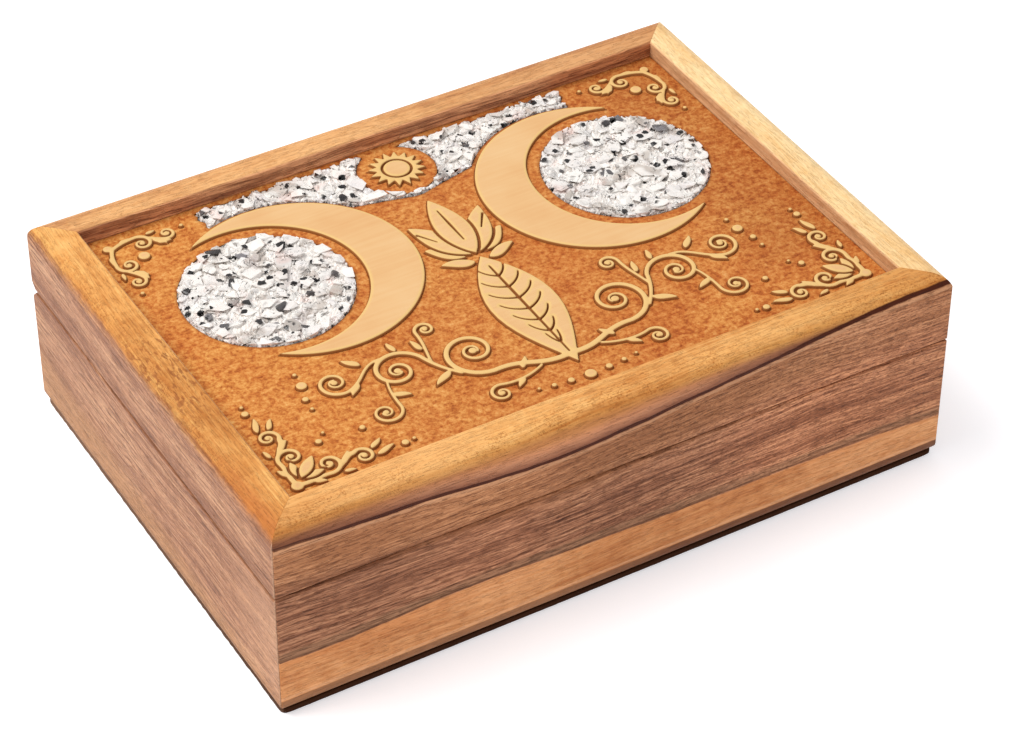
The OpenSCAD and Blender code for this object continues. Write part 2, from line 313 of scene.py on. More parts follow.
def flecked(t, c, along, amount, seed=0.0):
    """Short dark and light flecks along the grain."""
    n = t.noise(t.join(t.math("MULTIPLY", along, 0.95), seed, t.math("MULTIPLY", t.z, 2.1)), 1, 3, 0.72, 0.4)
    c = t.mix(t.math("MULTIPLY", t.fit(n, 0.52, 0.65), amount), c, t.mix(1.0, c, (0.58, 0.50, 0.44), "MULTIPLY"))
    return t.mix(t.math("MULTIPLY", t.fit(n, 0.47, 0.35), amount), c, t.mix(1.0, c, (1.26, 1.24, 1.20), "MULTIPLY"))


def front_wood():
    """Front wall and front rail, sawn from one board: heartwood between two bands of sapwood."""
    t = Shade("front_wood")
    f = grain(t, "X", 1.0)
    u = t.fit(t.x, -89, 89)
    wob = t.math("MULTIPLY", t.math("SUBTRACT", t.noise(t.join(t.math("MULTIPLY", t.x, 0.12), 0, t.math("MULTIPLY", t.z, 0.4)), 1, 3), 0.5), 0.8)
    drop = t.curve(u, [(0, 0.43), (0.017, 0.44), (0.073, 0.52), (0.152, 0.6), (0.23, 0.68), (0.32, 0.83), (0.399, 0.91),
                       (0.489, 0.82), (0.567, 0.7), (0.652, 0.56), (0.736, 0.41), (0.82, 0.27), (0.904, 0.2), (0.983, 0.18),
                       (1, 0.178)])
    over = t.math("ADD", t.math("SUBTRACT", t.math("MULTIPLY_ADD", drop, 10.0, t.z), TOP - UP), wob)   # mm above the wavy line
    low = t.curve(u, [(0, 0.655), (0.017, 0.65), (0.073, 0.63), (0.152, 0.65), (0.23, 0.68), (0.32, 0.675), (0.399, 0.64), (0.489, 0.615),
                      (0.567, 0.59), (0.652, 0.575), (0.736, 0.56), (0.82, 0.545), (0.904, 0.515), (0.983, 0.465), (1, 0.455)])
    under = t.math("ADD", t.math("SUBTRACT", t.math("MULTIPLY", low, 20.0), t.z), wob)            # mm below the lower line
    is_sap = t.fit(over, -0.12, 0.12, smooth=True)
    is_low = t.fit(under, -0.25, 0.25, smooth=True)
    heart = heart_colour(t, f, E_FRONT)
    heart = t.mix(t.fit(t.x, 20, 62, 0, 0.7, True), heart, t.mix(1.0, heart, (1.22, 1.18, 1.10), "MULTIPLY"))
    crisp = t.math("MULTIPLY", f["thin"], t.math("MULTIPLY", t.fit(t.x, 40, -20, 0.6, 0.95, True), t.fit(f["cloud"], 0.34, 0.56, 0.5, 1.0)))
    heart = t.mix(crisp, heart, t.mix(1.0, heart, (0.44, 0.34, 0.28), "MULTIPLY"))
    heart = t.mix(t.fit(f["fibre"], 0.50, 0.66, 0, 0.45), heart, t.mix(1.0, heart, (1.22, 1.20, 1.16), "MULTIPLY"))
    swing = t.curve(u, [(0, 0.46), (0.16, 0.47), (0.30, 0.60), (0.44, 0.46), (0.58, 0.48), (0.72, 0.64), (0.86, 0.58), (1, 0.54)])
    heart = t.mix(t.fit(swing, 0.5, 0.7), t.mix(t.fit(swing, 0.5, 0.3), heart, t.mix(1.0, heart, (0.66, 0.62, 0.62), "MULTIPLY")),
                  t.mix(1.0, heart, (1.36, 1.36, 1.36), "MULTIPLY"))
    calm = t.ramp(tone(t, f, 0.30, 0.30, 0.30, 0.25, 0.08), [(0.12, seen(144, 93, 60, E_FRONT)), (0.5, seen(167, 114, 78, E_FRONT)),
                                                            (0.88, seen(182, 131, 95, E_FRONT))])
    calm = t.mix(t.math("MULTIPLY", f["late"], 0.6), calm, t.mix(1.0, calm, (0.50, 0.38, 0.30), "MULTIPLY"))
    calm = t.mix(t.math("MULTIPLY", f["dash"], 0.3), calm, t.mix(1.0, calm, (0.56, 0.46, 0.40), "MULTIPLY"))
    calm = t.mix(t.math("MULTIPLY", f["thin"], 0.5), calm, t.mix(1.0, calm, (0.54, 0.42, 0.34), "MULTIPLY"))
    calm = t.mix(t.math("MULTIPLY", t.fit(t.x, -26, -8, smooth=True), t.fit(t.x, 66, 48, 0, 0.8, True)), calm, t.mix(1.0, calm, (0.86, 0.86, 0.82), "MULTIPLY"))
    calm = t.mix(t.fit(t.x, -18, -32, 0.0, 1.0, True), calm, t.mix(1.0, calm, (1.11, 1.14, 1.11), "MULTIPLY"))
    heart = t.mix(t.math("MULTIPLY", t.fit(over, -16.0, -7.0, smooth=True), 0.9), heart, calm)
    heart = flecked(t, heart, t.x, t.fit(t.x, -40, 20, 0.35, 0.95, True))
    sap_low = sap_colour(t, f, E_FRONT, (211, 153, 104), (195, 135, 86), (170, 106, 60))
    warm = t.math("MULTIPLY", t.fit(f["bands"], 0.50, 0.62, smooth=True), 0.55)
    sap_low = t.mix(warm, sap_low, seen(186, 118, 68, E_FRONT))
    sap_low = t.mix(1.0, sap_low, (0.97, 0.97, 0.98), "MULTIPLY")
    patchy = t.noise(t.join(t.math("MULTIPLY", t.x, 0.20), 4.0, t.math("MULTIPLY", t.z, 0.75)), 1, 3, 0.65, 0.5)
    sap_low = t.mix(t.fit(patchy, 0.53, 0.66, 0, 0.55), sap_low, t.mix(1.0, sap_low, (0.80, 0.68, 0.54), "MULTIPLY"))
    sap_low = t.mix(t.fit(patchy, 0.47, 0.35, 0, 0.55), sap_low, t.mix(1.0, sap_low, (1.08, 1.09, 1.04), "MULTIPLY"))
    middle = t.fit(t.math("ABSOLUTE", t.math("SUBTRACT", t.x, 14)), 44, 22, smooth=True)
    sap_low = t.mix(middle, sap_low, t.mix(1.0, sap_low, (0.94, 0.91, 0.86), "MULTIPLY"))
    top = sap_colour(t, f, E_RAIL)
    burnt = t.math("MULTIPLY", t.fit(t.x, -58, -88, smooth=True), t.fit(t.y, -50, -62, smooth=True))
    top = t.mix(t.math("MULTIPLY", burnt, 0.5), top, seen(188, 114, 52, E_RAIL))
    top = t.mix(t.math("MULTIPLY", t.fit(t.math("ABSOLUTE", t.math("ADD", t.x, 56)), 30, 8, smooth=True), 0.5), top, seen(243, 184, 118, E_RAIL))
    top = t.mix(t.fit(t.x, 14, 78, 0, 0.75, True), top, t.mix(1.0, top, (0.79, 0.69, 0.56), "MULTIPLY"))
    top = mottled(t, top, t.math("MULTIPLY", t.fit(t.math("ADD", t.y, t.math("MULTIPLY", f["cloud"], 7.0)), -52.6, -56.2, smooth=True),
                                 t.fit(t.z, 47.6, 49.4)))
    # Colour of the front rail's rounded edge above the wavy line, dark at the line and lighter upwards: partly the
    # heartwood's purple-brown, partly painted shade on the rounded edge
    side = t.ramp(t.fit(over, 0, 6), [(0.0, seen(110, 66, 44, E_FRONT)), (0.14, seen(126, 79, 56, E_FRONT)), (0.27, seen(146, 96, 69, E_FRONT)),
                                      (0.40, seen(163, 111, 80, E_FRONT)), (0.58, seen(178, 120, 84, E_FRONT)), (0.9, seen(182, 122, 74, E_FRONT))])
    side = t.mix(t.fit(t.x, -52, -66, 0, 0.8, True), side, t.mix(1.0, side, (0.90, 0.84, 0.76), "MULTIPLY"))
    side = t.mix(t.math("MULTIPLY", f["dash"], 0.4), side, t.mix(1.0, side, (0.62, 0.52, 0.46), "MULTIPLY"))
    side = t.mix(t.fit(f["fibre"], 0.4, 0.65, 0, 0.5), side, t.mix(1.0, side, (1.14, 1.12, 1.08), "MULTIPLY"))
    side = t.mix(t.fit(t.z, 45.8, 49.6), side, t.mix(1.0, side, (0.80, 0.76, 0.66), "MULTIPLY"))
    # Darker where the rail's top turns down into the rounding: partly the wood's colour, partly painted shade
    deep = t.math("MULTIPLY", t.fit(t.z, 50.55, 49.7, smooth=True), t.fit(t.noise(t.join(t.math("MULTIPLY", t.x, 0.035), 0, 0), 1, 2), 0.36, 0.6, 0.45, 0.95))
    top = t.mix(deep, top, t.mix(1.0, top, (0.80, 0.70, 0.54), "MULTIPLY"))
    top = t.mix(t.fit(t.z, 49.8, 47.8, smooth=True), top, side)
    c = t.mix(is_sap, heart, top)
    c = t.mix(is_low, c, sap_low)
    pale = t.math("MULTIPLY", t.fit(t.math("ABSOLUTE", t.math("ADD", over, 1.15)), 0.75, 0.2, smooth=True), 0.55)
    c = t.mix(pale, c, seen(184, 137, 102, E_FRONT))
    line = t.math("MULTIPLY", t.fit(t.math("ABSOLUTE", t.math("ADD", over, 0.05)), 0.64, 0.34, smooth=True), t.fit(u, 0.0, 0.10, 0.75, 0.99))
    c = t.mix(line, c, seen(62, 20, 2, E_FRONT))
    rim = t.math("MULTIPLY", t.fit(t.math("ABSOLUTE", t.math("ADD", under, 0.45)), 0.55, 0.15, smooth=True), t.fit(u, 0.95, 0.5, 0.35, 0.75, True))
    c = t.mix(rim, c, seen(84, 48, 28, E_FRONT))
    grey = t.math("MULTIPLY", t.fit(t.math("ABSOLUTE", t.math("ADD", under, 1.6)), 1.7, 0.4, smooth=True), 0.42)
    c = t.mix(grey, c, seen(106, 82, 58, E_FRONT))
    # Painted highlight: a light line along the top of the bottom edge's rounding
    c = t.mix(t.math("MULTIPLY", t.fit(t.math("ABSOLUTE", t.math("SUBTRACT", t.z, 1.95)), 0.6, 0.1, smooth=True), 0.6), c, seen(207, 155, 114, E_FRONT))
    # Painted shade: the bottom edge's rounding, which faces down, in brown that darkens towards the right
    c = t.mix(t.fit(t.z, 1.55, 1.20, 0, 0.92, True), c, t.mix(t.fit(t.x, -18, 14), seen(134, 92, 62, E_FRONT), seen(98, 60, 40, E_FRONT)))
    is_heart = t.math("MULTIPLY", t.fit(over, 0.12, -0.12), t.fit(under, 0.25, -0.25))
    return wood_finish(t, f, c, 0.45, t.math("MULTIPLY_ADD", is_heart, 0.48, 0.10))


def end_wood(name, seed, light, mid, dark, top_light, top_mid, top_dark, low=None, e_side=None, deep=0.34):
    """An end wall and its rail: grain along Y, another tone on the rail top."""
    t = Shade(name)
    f = grain(t, "Y", seed, rings=0.22)
    e = e_side or E_LEFT
    v = tone(t, f, 0.45, 0.42, 0.28, 0.32, 0.12)
    side = t.ramp(v, [(0.10, seen(*dark, e)), (0.5, seen(*mid, e)), (0.90, seen(*light, e))])
    side = t.mix(t.math("MULTIPLY", f["late"], deep * 1.5), side, t.mix(1.0, side, (0.54, 0.42, 0.36), "MULTIPLY"))
    side = t.mix(t.math("MULTIPLY", f["dash"], deep * 1.3), side, t.mix(1.0, side, (0.42, 0.34, 0.30), "MULTIPLY"))
    side = t.mix(t.math("MULTIPLY", f["thin"], t.fit(f["cloud"], 0.36, 0.58, deep * 0.8, deep * 2.7)), side, t.mix(1.0, side, (0.46, 0.38, 0.34), "MULTIPLY"))
    if name == "left_wood":
        side = t.mix(1.0, side, (1.11, 1.08, 1.05), "MULTIPLY")
        near = t.math("MULTIPLY", t.fit(t.y, -32, -61, 0, 0.9, True), t.math("MULTIPLY", t.fit(t.z, 37, 25, smooth=True), t.fit(t.z, 2, 16, 0.6, 1.0)))
        side = t.mix(t.math("MULTIPLY", near, 0.35), side, t.mix(1.0, side, (1.50, 1.48, 1.34), "MULTIPLY"))
        side = t.mix(t.math("MULTIPLY", near, 0.66), side, seen(218, 166, 130, e))
    if low:
        patch = t.math("MULTIPLY", t.fit(t.math("SUBTRACT", t.math("MULTIPLY", t.y, 0.10), t.z), -12, -3, smooth=True), 0.6)
        side = t.mix(patch, side, t.mix(t.math("MULTIPLY", f["dash"], 0.4), seen(*low, e), seen(150, 104, 70, e)))
    side = flecked(t, side, t.y, 0.45, 2.0)
    if name == "left_wood":
        # Painted highlight: a light line along the rounded vertical corner where the left wall meets the front
        side = t.mix(t.fit(t.y, -62.80, -63.02, 0, 0.6, True), side, seen(226, 180, 148, e))
    top = sap_colour(t, f, E_RAIL, top_light, top_mid, top_dark)
    if name == "left_wood":
        top = t.mix(t.fit(t.y, 10, -58, 0.0, 0.6, True), top, t.mix(1.0, top, (0.88, 0.78, 0.68), "MULTIPLY"))
        outer = t.fit(t.x, -84.6, -87.2, smooth=True)
        top = t.mix(outer, top, t.mix(1.0, top, (0.84, 0.78, 0.70), "MULTIPLY"))
        top = mottled(t, top, t.math("MULTIPLY", t.fit(t.math("ADD", t.x, t.math("MULTIPLY", f["cloud"], 6.0)), -80.6, -83.6, smooth=True), 0.8))
        burnt = t.math("MULTIPLY", t.fit(t.y, -22, -56, smooth=True), t.fit(t.x, -82.5, -87.0, smooth=True))
        top = t.mix(t.math("MULTIPLY", burnt, 0.7), top, seen(196, 118, 58, E_RAIL))
    ragged = t.math("ADD", t.math("SUBTRACT", f["streak"], 0.5), t.math("SUBTRACT", f["curl"], 0.5))
    edge = t.math("ADD", t.z, t.math("MULTIPLY", ragged, 2.2))
    c = t.mix(t.fit(edge, 47.7, 49.7, smooth=True), side, top)
    if name == "left_wood":
        flame = t.noise(t.join(t.math("MULTIPLY", t.x, 0.85), t.math("MULTIPLY", t.y, 0.30), t.z), 1, 3, 0.6, 0.5)
        fleck = t.math("MULTIPLY", t.fit(flame, 0.50, 0.62, 0, 0.75, True), t.fit(t.math("ABSOLUTE", t.math("ADD", t.y, 4)), 26, 8, smooth=True))
        c = t.mix(t.math("MULTIPLY", fleck, t.fit(edge, 47.9, 49.0)), c, seen(158, 92, 46, E_RAIL))
        c = t.mix(t.fit(t.math("ABSOLUTE", t.math("ADD", t.y, 16)), 34, 8, 0, 0.55, True), c, t.mix(t.fit(t.z, 44, 48), c, t.mix(1.0, c, (0.84, 0.80, 0.76), "MULTIPLY")))
    inner = t.math("MULTIPLY", t.fit(t.math("ABSOLUTE", t.x), 79.85, 79.62), t.fit(t.z, 46.0, 46.3))
    wall = t.mix(t.fit(tone(t, f, 0.4, 0.4, 0.3, 0.2, 0.1), 0.2, 0.8), (0.60, 0.315, 0.148), (0.77, 0.47, 0.255))
    # Painted shade: the inner wall darkens where it meets the carved panel
    wall = t.mix(t.fit(t.z, 47.05, 46.7, 0, 0.7), wall, seen(120, 66, 36, e))
    c = t.mix(inner, c, wall)
    if name == "right_wood":
        c = t.mix(t.math("MULTIPLY", t.fit(t.x, 87.4, 88.6, smooth=True), 0.55), c, t.mix(1.0, c, (0.84, 0.66, 0.48), "MULTIPLY"))
    # Painted shade: darker towards the bottom edge's rounding, which faces down
    c = t.mix(t.fit(t.z, 1.2, 0.2, 0, 0.5, True), c, t.mix(1.0, c, (0.60, 0.52, 0.48), "MULTIPLY"))
    seam = t.math("MULTIPLY", t.fit(t.math("ABSOLUTE", t.math("SUBTRACT", edge, 48.9)), 1.0, 0.1, smooth=True), t.fit(f["cloud"], 0.4, 0.6, 0.05, 0.55))
    c = t.mix(seam, c, t.mix(1.0, c, (0.62, 0.46, 0.34), "MULTIPLY"))
    # Painted shade: a dark line along the gap where the lid sits on the base
    split_gap_shade = t.math("MULTIPLY", t.fit(t.math("ABSOLUTE", t.math("SUBTRACT", t.z, 32.0)), 0.50, 0.16, smooth=True), t.fit(f["cloud"], 0.38, 0.58, 0.45, 0.85))
    c = t.mix(split_gap_shade, c, t.mix(1.0, c, (0.50, 0.38, 0.30), "MULTIPLY"))
    return wood_finish(t, f, c, 0.46, t.fit(t.z, 47, 49.5, 0.34, 0.10))


def back_wood():
    t = Shade("back_wood")
    f = grain(t, "X", 4.0)
    heart = heart_colour(t, f, 0.92, (176, 120, 84), (150, 96, 66), (108, 62, 42), 0.5)
    dusky = t.fit(t.x, 30, 78, 0.0, 0.6, True)
    heart = t.mix(dusky, heart, t.mix(1.0, heart, (0.82, 0.66, 0.55), "MULTIPLY"))
    top = sap_colour(t, f, E_RAIL, (240, 185, 126), (226, 167, 109), (202, 140, 90))
    top = t.mix(t.fit(t.x, -20, 66, 0, 0.8, True), top, t.mix(1.0, top, (0.81, 0.74, 0.75), "MULTIPLY"))
    edge = t.math("ADD", t.z, t.math("MULTIPLY", t.math("SUBTRACT", f["streak"], 0.5), 2.0))
    rim = t.fit(t.math("ADD", t.y, t.math("MULTIPLY", f["curl"], 0.8)), 61.9, 63.0, 0, 0.75, True)
    top = t.mix(rim, top, seen(150, 98, 74, E_RAIL))
    c = t.mix(t.fit(edge, 48.4, 49.8, smooth=True), heart, top)
    inner = t.math("MULTIPLY", t.fit(t.y, 54.35, 54.12), t.fit(t.z, 46.0, 46.3))
    pale = t.mix(1.0, heart, (1.80, 2.10, 2.20), "MULTIPLY")
    # Painted shade: the inner wall darkens where it meets the carved panel
    c = t.mix(inner, c, t.mix(t.fit(t.z, 47.05, 46.7, 0, 0.7), pale, t.mix(1.0, heart, (0.7, 0.6, 0.5), "MULTIPLY")))
    # Painted shade: darker towards the bottom edge's rounding, which faces down
    c = t.mix(t.fit(t.z, 1.2, 0.2, 0, 0.6, True), c, t.mix(1.0, c, (0.60, 0.52, 0.48), "MULTIPLY"))
    return wood_finish(t, f, c, 0.46, t.fit(edge, 48.4, 49.8, 0.5, 0.12))


def eased(obj, width=0.18, segments=2, angle=28):
    """Welds a CAD node's split vertices, clears its flat faces and rounds its edges."""
    w = obj.modifiers.new("weld", "WELD"); w.merge_threshold = 0.00001
    d = obj.modifiers.new("flat", "DECIMATE"); d.decimate_type = "DISSOLVE"; d.angle_limit = math.radians(0.6)
    b = obj.modifiers.new("ease", "BEVEL")
    b.width, b.segments, b.limit_method, b.angle_limit = width * MM, segments, "ANGLE", math.radians(angle)
    b.harden_normals = False; b.use_clamp_overlap = True; b.miter_outer = "MITER_ARC"
    n = obj.modifiers.new("shade", "WEIGHTED_NORMAL"); n.keep_sharp = True; n.weight = 60
    for p in obj.data.polygons:
        p.use_smooth = True


wood_front = front_wood()
wood_left = end_wood("left_wood", 2.0, (216, 166, 128), (198, 144, 108), (160, 108, 78),
                     (248, 194, 120), (231, 165, 93), (202, 132, 66), low=(208, 152, 100))
wood_right = end_wood("right_wood", 3.0, (226, 172, 126), (208, 150, 104), (176, 116, 76),
                      (255, 226, 172), (249, 210, 153), (238, 190, 126))
wood_back = back_wood()

for n, m, s in (("base_front_wall", wood_front, "base_wood"), ("lid_front_rail", wood_front, "rail_wood"),
                ("base_back_wall", wood_back, "base_wood"), ("lid_back_rail", wood_back, "rail_wood"),
                ("base_left_wall", wood_left, "base_wood"), ("lid_left_rail", wood_left, "rail_wood"),
                ("base_right_wall", wood_right, "base_wood"), ("lid_right_rail", wood_right, "rail_wood_pale")):
    dress(node[n], m)
    eased(node[n])


# ---------------------------------------------------------------- lid design

BAND_W = 50.0
CELL = 0.25                                  # grid step of the distance fields, mm
GX = np.arange(-80.5, 80.5 + CELL / 2, CELL)
GY = np.arange(-55.0, 55.0 + CELL / 2, CELL)


def blank():
    return np.full((len(GY), len(GX)), 9.0)


def window(x0, x1, y0, y1, pad=2.2):
    """Slices of the grid that hold a box, with room round it, and its coordinates."""
    i0, i1 = np.searchsorted(GX, (x0 - pad, x1 + pad))
    j0, j1 = np.searchsorted(GY, (y0 - pad, y1 + pad))
    return (slice(j0, j1), slice(i0, i1)), *np.meshgrid(GX[i0:i1], GY[j0:j1])


def join_min(field, part, d):
    field[part] = np.minimum(field[part], d)


def add_disc(field, cx, cy, r):
    part, X, Y = window(cx - r, cx + r, cy - r, cy + r)
    join_min(field, part, np.hypot(X - cx, Y - cy) - r)


def add_stroke(field, pts, half):
    """A stroke along pts whose half width runs through half, one value a point."""
    pts, half = np.asarray(pts, float), np.asarray(half, float)
    for k in range(0, len(pts) - 1, 6):
        p, h = pts[k:k + 7], half[k:k + 7]
        m = h.max()
        part, X, Y = window(p[:, 0].min() - m, p[:, 0].max() + m, p[:, 1].min() - m, p[:, 1].max() + m)
        if X.size == 0:
            continue
        best = np.full(X.shape, 9.0)
        for (ax, ay), (bx, by), ha, hb in zip(p[:-1], p[1:], h[:-1], h[1:]):
            dx, dy = bx - ax, by - ay
            q = np.clip(((X - ax) * dx + (Y - ay) * dy) / (dx * dx + dy * dy + 1e-12), 0, 1)
            best = np.minimum(best, np.hypot(X - ax - q * dx, Y - ay - q * dy) - (ha + (hb - ha) * q))
        join_min(field, part, best)


def polygon_distance(pts, X, Y):
    pts = np.asarray(pts, float)
    best = np.full(X.shape, 1e9)
    inside = np.zeros(X.shape, bool)
    for (ax, ay), (bx, by) in zip(pts, np.roll(pts, -1, 0)):
        dx, dy = bx - ax, by - ay
        q = np.clip(((X - ax) * dx + (Y - ay) * dy) / (dx * dx + dy * dy + 1e-12), 0, 1)
        best = np.minimum(best, np.hypot(X - ax - q * dx, Y - ay - q * dy))
        cross = (ay > Y) != (by > Y)
        inside ^= cross & (X < ax + dx * (Y - ay) / (dy if abs(dy) > 1e-12 else 1e-12))
    return np.where(inside, -best, best)


def add_polygon(field, pts):
    pts = np.asarray(pts, float)
    part, X, Y = window(pts[:, 0].min(), pts[:, 0].max(), pts[:, 1].min(), pts[:, 1].max())
    join_min(field, part, polygon_distance(pts, X, Y))


def bezier(p0, p1, p2, p3, n=22):
    t = np.linspace(0, 1, n)[:, None]
    p0, p1, p2, p3 = (np.asarray(p, float) for p in (p0, p1, p2, p3))
    return p0 * (1 - t) ** 3 + 3 * p1 * t * (1 - t) ** 2 + 3 * p2 * t * t * (1 - t) + p3 * t ** 3


def curl(c, r0, r1, start, turns, way, n=None):
    """Points of a spiral round c, from radius r0 to r1, way 1 anticlockwise or -1 clockwise."""
    n = n or int(abs(turns) * 34) + 6
    t = np.linspace(0, 1, n)
    r = r0 * (r1 / r0) ** t
    a = math.radians(start) + way * t * turns * 2 * math.pi
    return np.stack([c[0] + r * np.cos(a), c[1] + r * np.sin(a)], 1)


def tendril(p0, out, c, r0, start, turns, way, r1=1.3, pull=(0.45, 0.45)):
    """A stem from p0, leaving along out, that runs smoothly into a spiral."""
    s = curl(c, r0, r1, start, turns, way)
    a = math.radians(start)
    head = np.array([-math.sin(a), math.cos(a)]) * way
    span = np.hypot(*(s[0] - np.asarray(p0, float)))
    out = np.asarray(out, float) / np.hypot(*out)
    b = bezier(p0, np.asarray(p0) + out * span * pull[0], s[0] - head * span * pull[1], s[0])
    return np.concatenate([b[:-1], s])


def taper(n, a, b, c=None, mid=0.35):
    """Half widths along a stroke: a at the start, b at mid, c at the end."""
    t = np.linspace(0, 1, n)
    return np.interp(t, [0, mid, 1], [a, b, b if c is None else c])


def leaf_shape(foot, angle, length, width, bend=0.0, tip=0.62):
    """Outline of a pointed leaf from foot, angle in degrees from +X."""
    t = np.linspace(0, 1, 15)
    w = width / 2 * np.sin(np.pi * t ** tip) ** 0.9
    side = bend * np.sin(np.pi * t * 0.5) ** 2 * length
    a = math.radians(angle)
    u, v = np.array([math.cos(a), math.sin(a)]), np.array([-math.sin(a), math.cos(a)])
    mid = np.asarray(foot, float) + np.outer(t * length, u) + np.outer(side, v)
    return np.concatenate([mid + np.outer(w, v), (mid - np.outer(w, v))[::-1][1:-1]])


def mirrored(pts):
    return np.asarray(pts, float) * (-1, 1)


def both(fn, field, pts, *rest):
    fn(field, pts, *rest)
    fn(field, mirrored(pts), *rest)


def figures():
    """Distance to the raised figures' edge, negative inside them, and the same for the stone pockets."""
    f = blank()
    X, Y = np.meshgrid(GX, GY)
    for s in (-1, 1):                                   # two moons
        outer = np.hypot(X - s * MOON_X, Y - DISC_Y) - MOON_R
        inner = MOON_CUT - np.hypot(X - s * DISC_X, Y - DISC_Y)
        f = np.minimum(f, np.maximum(outer, inner))

    # sun: a disc in a ring of rays
    ray = [(( 7.4 if i % 2 == 0 else 5.0) * math.sin(math.radians(i * 11.25)),
            SUN_Y + (7.4 if i % 2 == 0 else 5.0) * math.cos(math.radians(i * 11.25))) for i in range(32)]
    add_polygon(f, ray)

    # blossom on a long leaf, its petals laid one behind another
    g = blank()
    for turn, l, w, gap in ((58, 11.0, 4.6, 0.0), (31, 18.6, 6.4, 0.6), (0, 24.0, 8.4, 0.6)):
        h = blank()
        for s in {-1, 1} if turn else {1}:
            add_polygon(h, leaf_shape((s * turn * 0.03, 4.2), 90 - s * turn, l, w, bend=s * turn * 0.0016, tip=0.9))
        g = np.minimum(np.maximum(g, gap - h), h)
    f = np.minimum(f, g)
    add_polygon(f, leaf_shape((0, -42.3), 90, 45.0, 16.6, tip=1.14))
    for s in (-1, 1):                                           # two small leaves where the blossom starts
        add_polygon(f, leaf_shape((s * 1.8, 1.4), 90 - s * 84, 8.4, 3.2, bend=s * 0.2, tip=0.8))

    # burnt grooves: ribs of the leaf and of the petals, ring of the sun
    cut = blank()
    add_stroke(cut, [(0, -38.3), (0, -12.8), (0, -1.8)], [0.14, 0.3, 0.16])
    for i in range(7):
        y = -34.3 + i * 4.7
        w = (1.5, 3.2, 4.6, 5.4, 5.6, 4.9, 3.4)[i]
        rib = bezier((0, y), (w * 0.4, y + 0.6), (w * 0.8, y + 2.0), (w, y + 4.2), 9)
        both(add_stroke, cut, rib, taper(9, 0.24, 0.18, 0.1))
    add_stroke(cut, [(0, 10.2), (0, 17.2), (0, 23.2)], [0.1, 0.24, 0.08])
    for turn in (-31, 31):
        d = np.array([math.sin(math.radians(turn)), math.cos(math.radians(turn))])
        add_stroke(cut, [np.array((turn * 0.035, 4.2)) + d * 9.5, np.array((turn * 0.04, 4.2)) + d * 15.0], [0.08, 0.2])
    ring = curl((0, SUN_Y), 3.6, 3.6, 0, 1.0, 1, 40)
    add_stroke(cut, ring, np.full(40, 0.24))
    f = np.maximum(f, -cut)

    # running scroll to each side of the leaf's foot
    v = blank()

    def vine(pts, *w):
        both(add_stroke, v, pts, taper(len(pts), *w))

    vine(tendril((0.5, -38.9), (1.0, -0.12), (19.0, -27.0), 8.6, -95, 1.85, 1, 1.2), 0.85, 0.68, 0.32)
    vine(tendril((25.0, -32.6), (0.64, 0.77), (37.2, -24.8), 7.2, 165, 1.85, -1, 1.1, (0.35, 0.35)), 0.45, 0.66, 0.3)
    vine(tendril((38.4, -19.1), (0.98, 0.1), (51.6, -21.4), 4.5, -105, 1.6, 1, 0.95, (0.4, 0.4)), 0.4, 0.55, 0.28)
    vine(tendril((41.2, -27.2), (0.35, -1.0), (46.4, -36.2), 4.0, 180, 1.5, 1, 0.9, (0.35, 0.35)), 0.35, 0.5, 0.28)
    vine(tendril((8.0, -39.2), (0.9, -0.5), (20.6, -43.4), 3.0, 110, 1.45, -1, 0.75, (0.3, 0.35)), 0.4, 0.5, 0.28)
    vine(tendril((29.0, -25.8), (-0.15, 1.0), (24.6, -14.8), 2.6, 0, 1.45, 1, 0.7, (0.35, 0.4)), 0.4, 0.52, 0.28)
    for c, r in (((19.0, -27.0), 1.05), ((37.2, -24.8), 0.95), ((51.6, -21.4), 0.85), ((46.4, -36.2), 0.8), ((20.6, -43.4), 0.72),
                 ((24.6, -14.8), 0.66)):
        for s in (-1, 1):
            add_disc(v, s * c[0], c[1], r)
    for foot, a, l, w, b in (((26.9, -30.4), -46, 6.2, 2.1, 0.22), ((28.6, -21.0), 62, 4.6, 1.7, 0.2),
                             ((43.6, -19.0), 62, 5.2, 1.9, -0.2), ((12.2, -38.2), 112, 4.6, 1.7, 0.2),
                             ((47.0, -23.9), -62, 4.8, 1.8, 0.22), ((42.2, -31.2), 222, 4.8, 1.8, -0.2),
                             ((13.6, -40.8), -58, 4.0, 1.6, 0.2), ((34.4, -18.6), 92, 4.2, 1.6, -0.15)):
        both(add_polygon, v, leaf_shape(foot, a, l, w, b, 0.75))
    for c, r in (((58.4, -18.6), 1.35), ((59.8, -23.2), 0.85), ((60.0, -26.8), 0.55), ((53.4, -38.0), 0.8), ((58.0, -14.4), 0.6)):
        for s in (-1, 1):
            add_disc(v, s * c[0], c[1], r)
    # a row of beads at the front edge
    for x, y, r in ((0, -47.4, 1.5), (5.0, -47.2, 0.9), (9.2, -46.8, 0.7), (12.8, -46.2, 0.5)):
        for s in (-1, 1):
            add_disc(v, s * x, y, r)
    f = np.minimum(f, v)

    # corner ornaments, mirrored about the corner's diagonal
    def corner(cx, cy, sx, sy, size, kind):
        w = blank()

        def at(pts):
            """From the corner's own axes, u along the long side and v along the short, both inwards."""
            p = np.asarray(pts, float) * size
            return np.stack([cx + sx * p[..., 0], cy + sy * p[..., 1]], -1)

        def twice(fn, pts, *rest):
            fn(w, at(pts), *rest)
            fn(w, at(np.asarray(pts)[..., ::-1]), *rest)

        def dots(*spots):
            for (u, q, r) in spots:
                for p in {(u, q), (q, u)}:
                    c = at([p])[0]
                    add_disc(w, c[0], c[1], r * size)

        def curled(p0, out, c, r0, start, turns, way, pull, a, b):
            """A slender stem with a bead in its spiral."""
            pts = tendril(p0, out, c, r0, start, turns, way, 0.6, pull)
            twice(add_stroke, pts, taper(len(pts), a, b, 0.24) * size)
            dots((*c, 0.62))

        def leaves(*rows):
            for foot, a, l, wd, b in rows:
                twice(add_polygon, leaf_shape(foot, a, l, wd, b, 0.75))

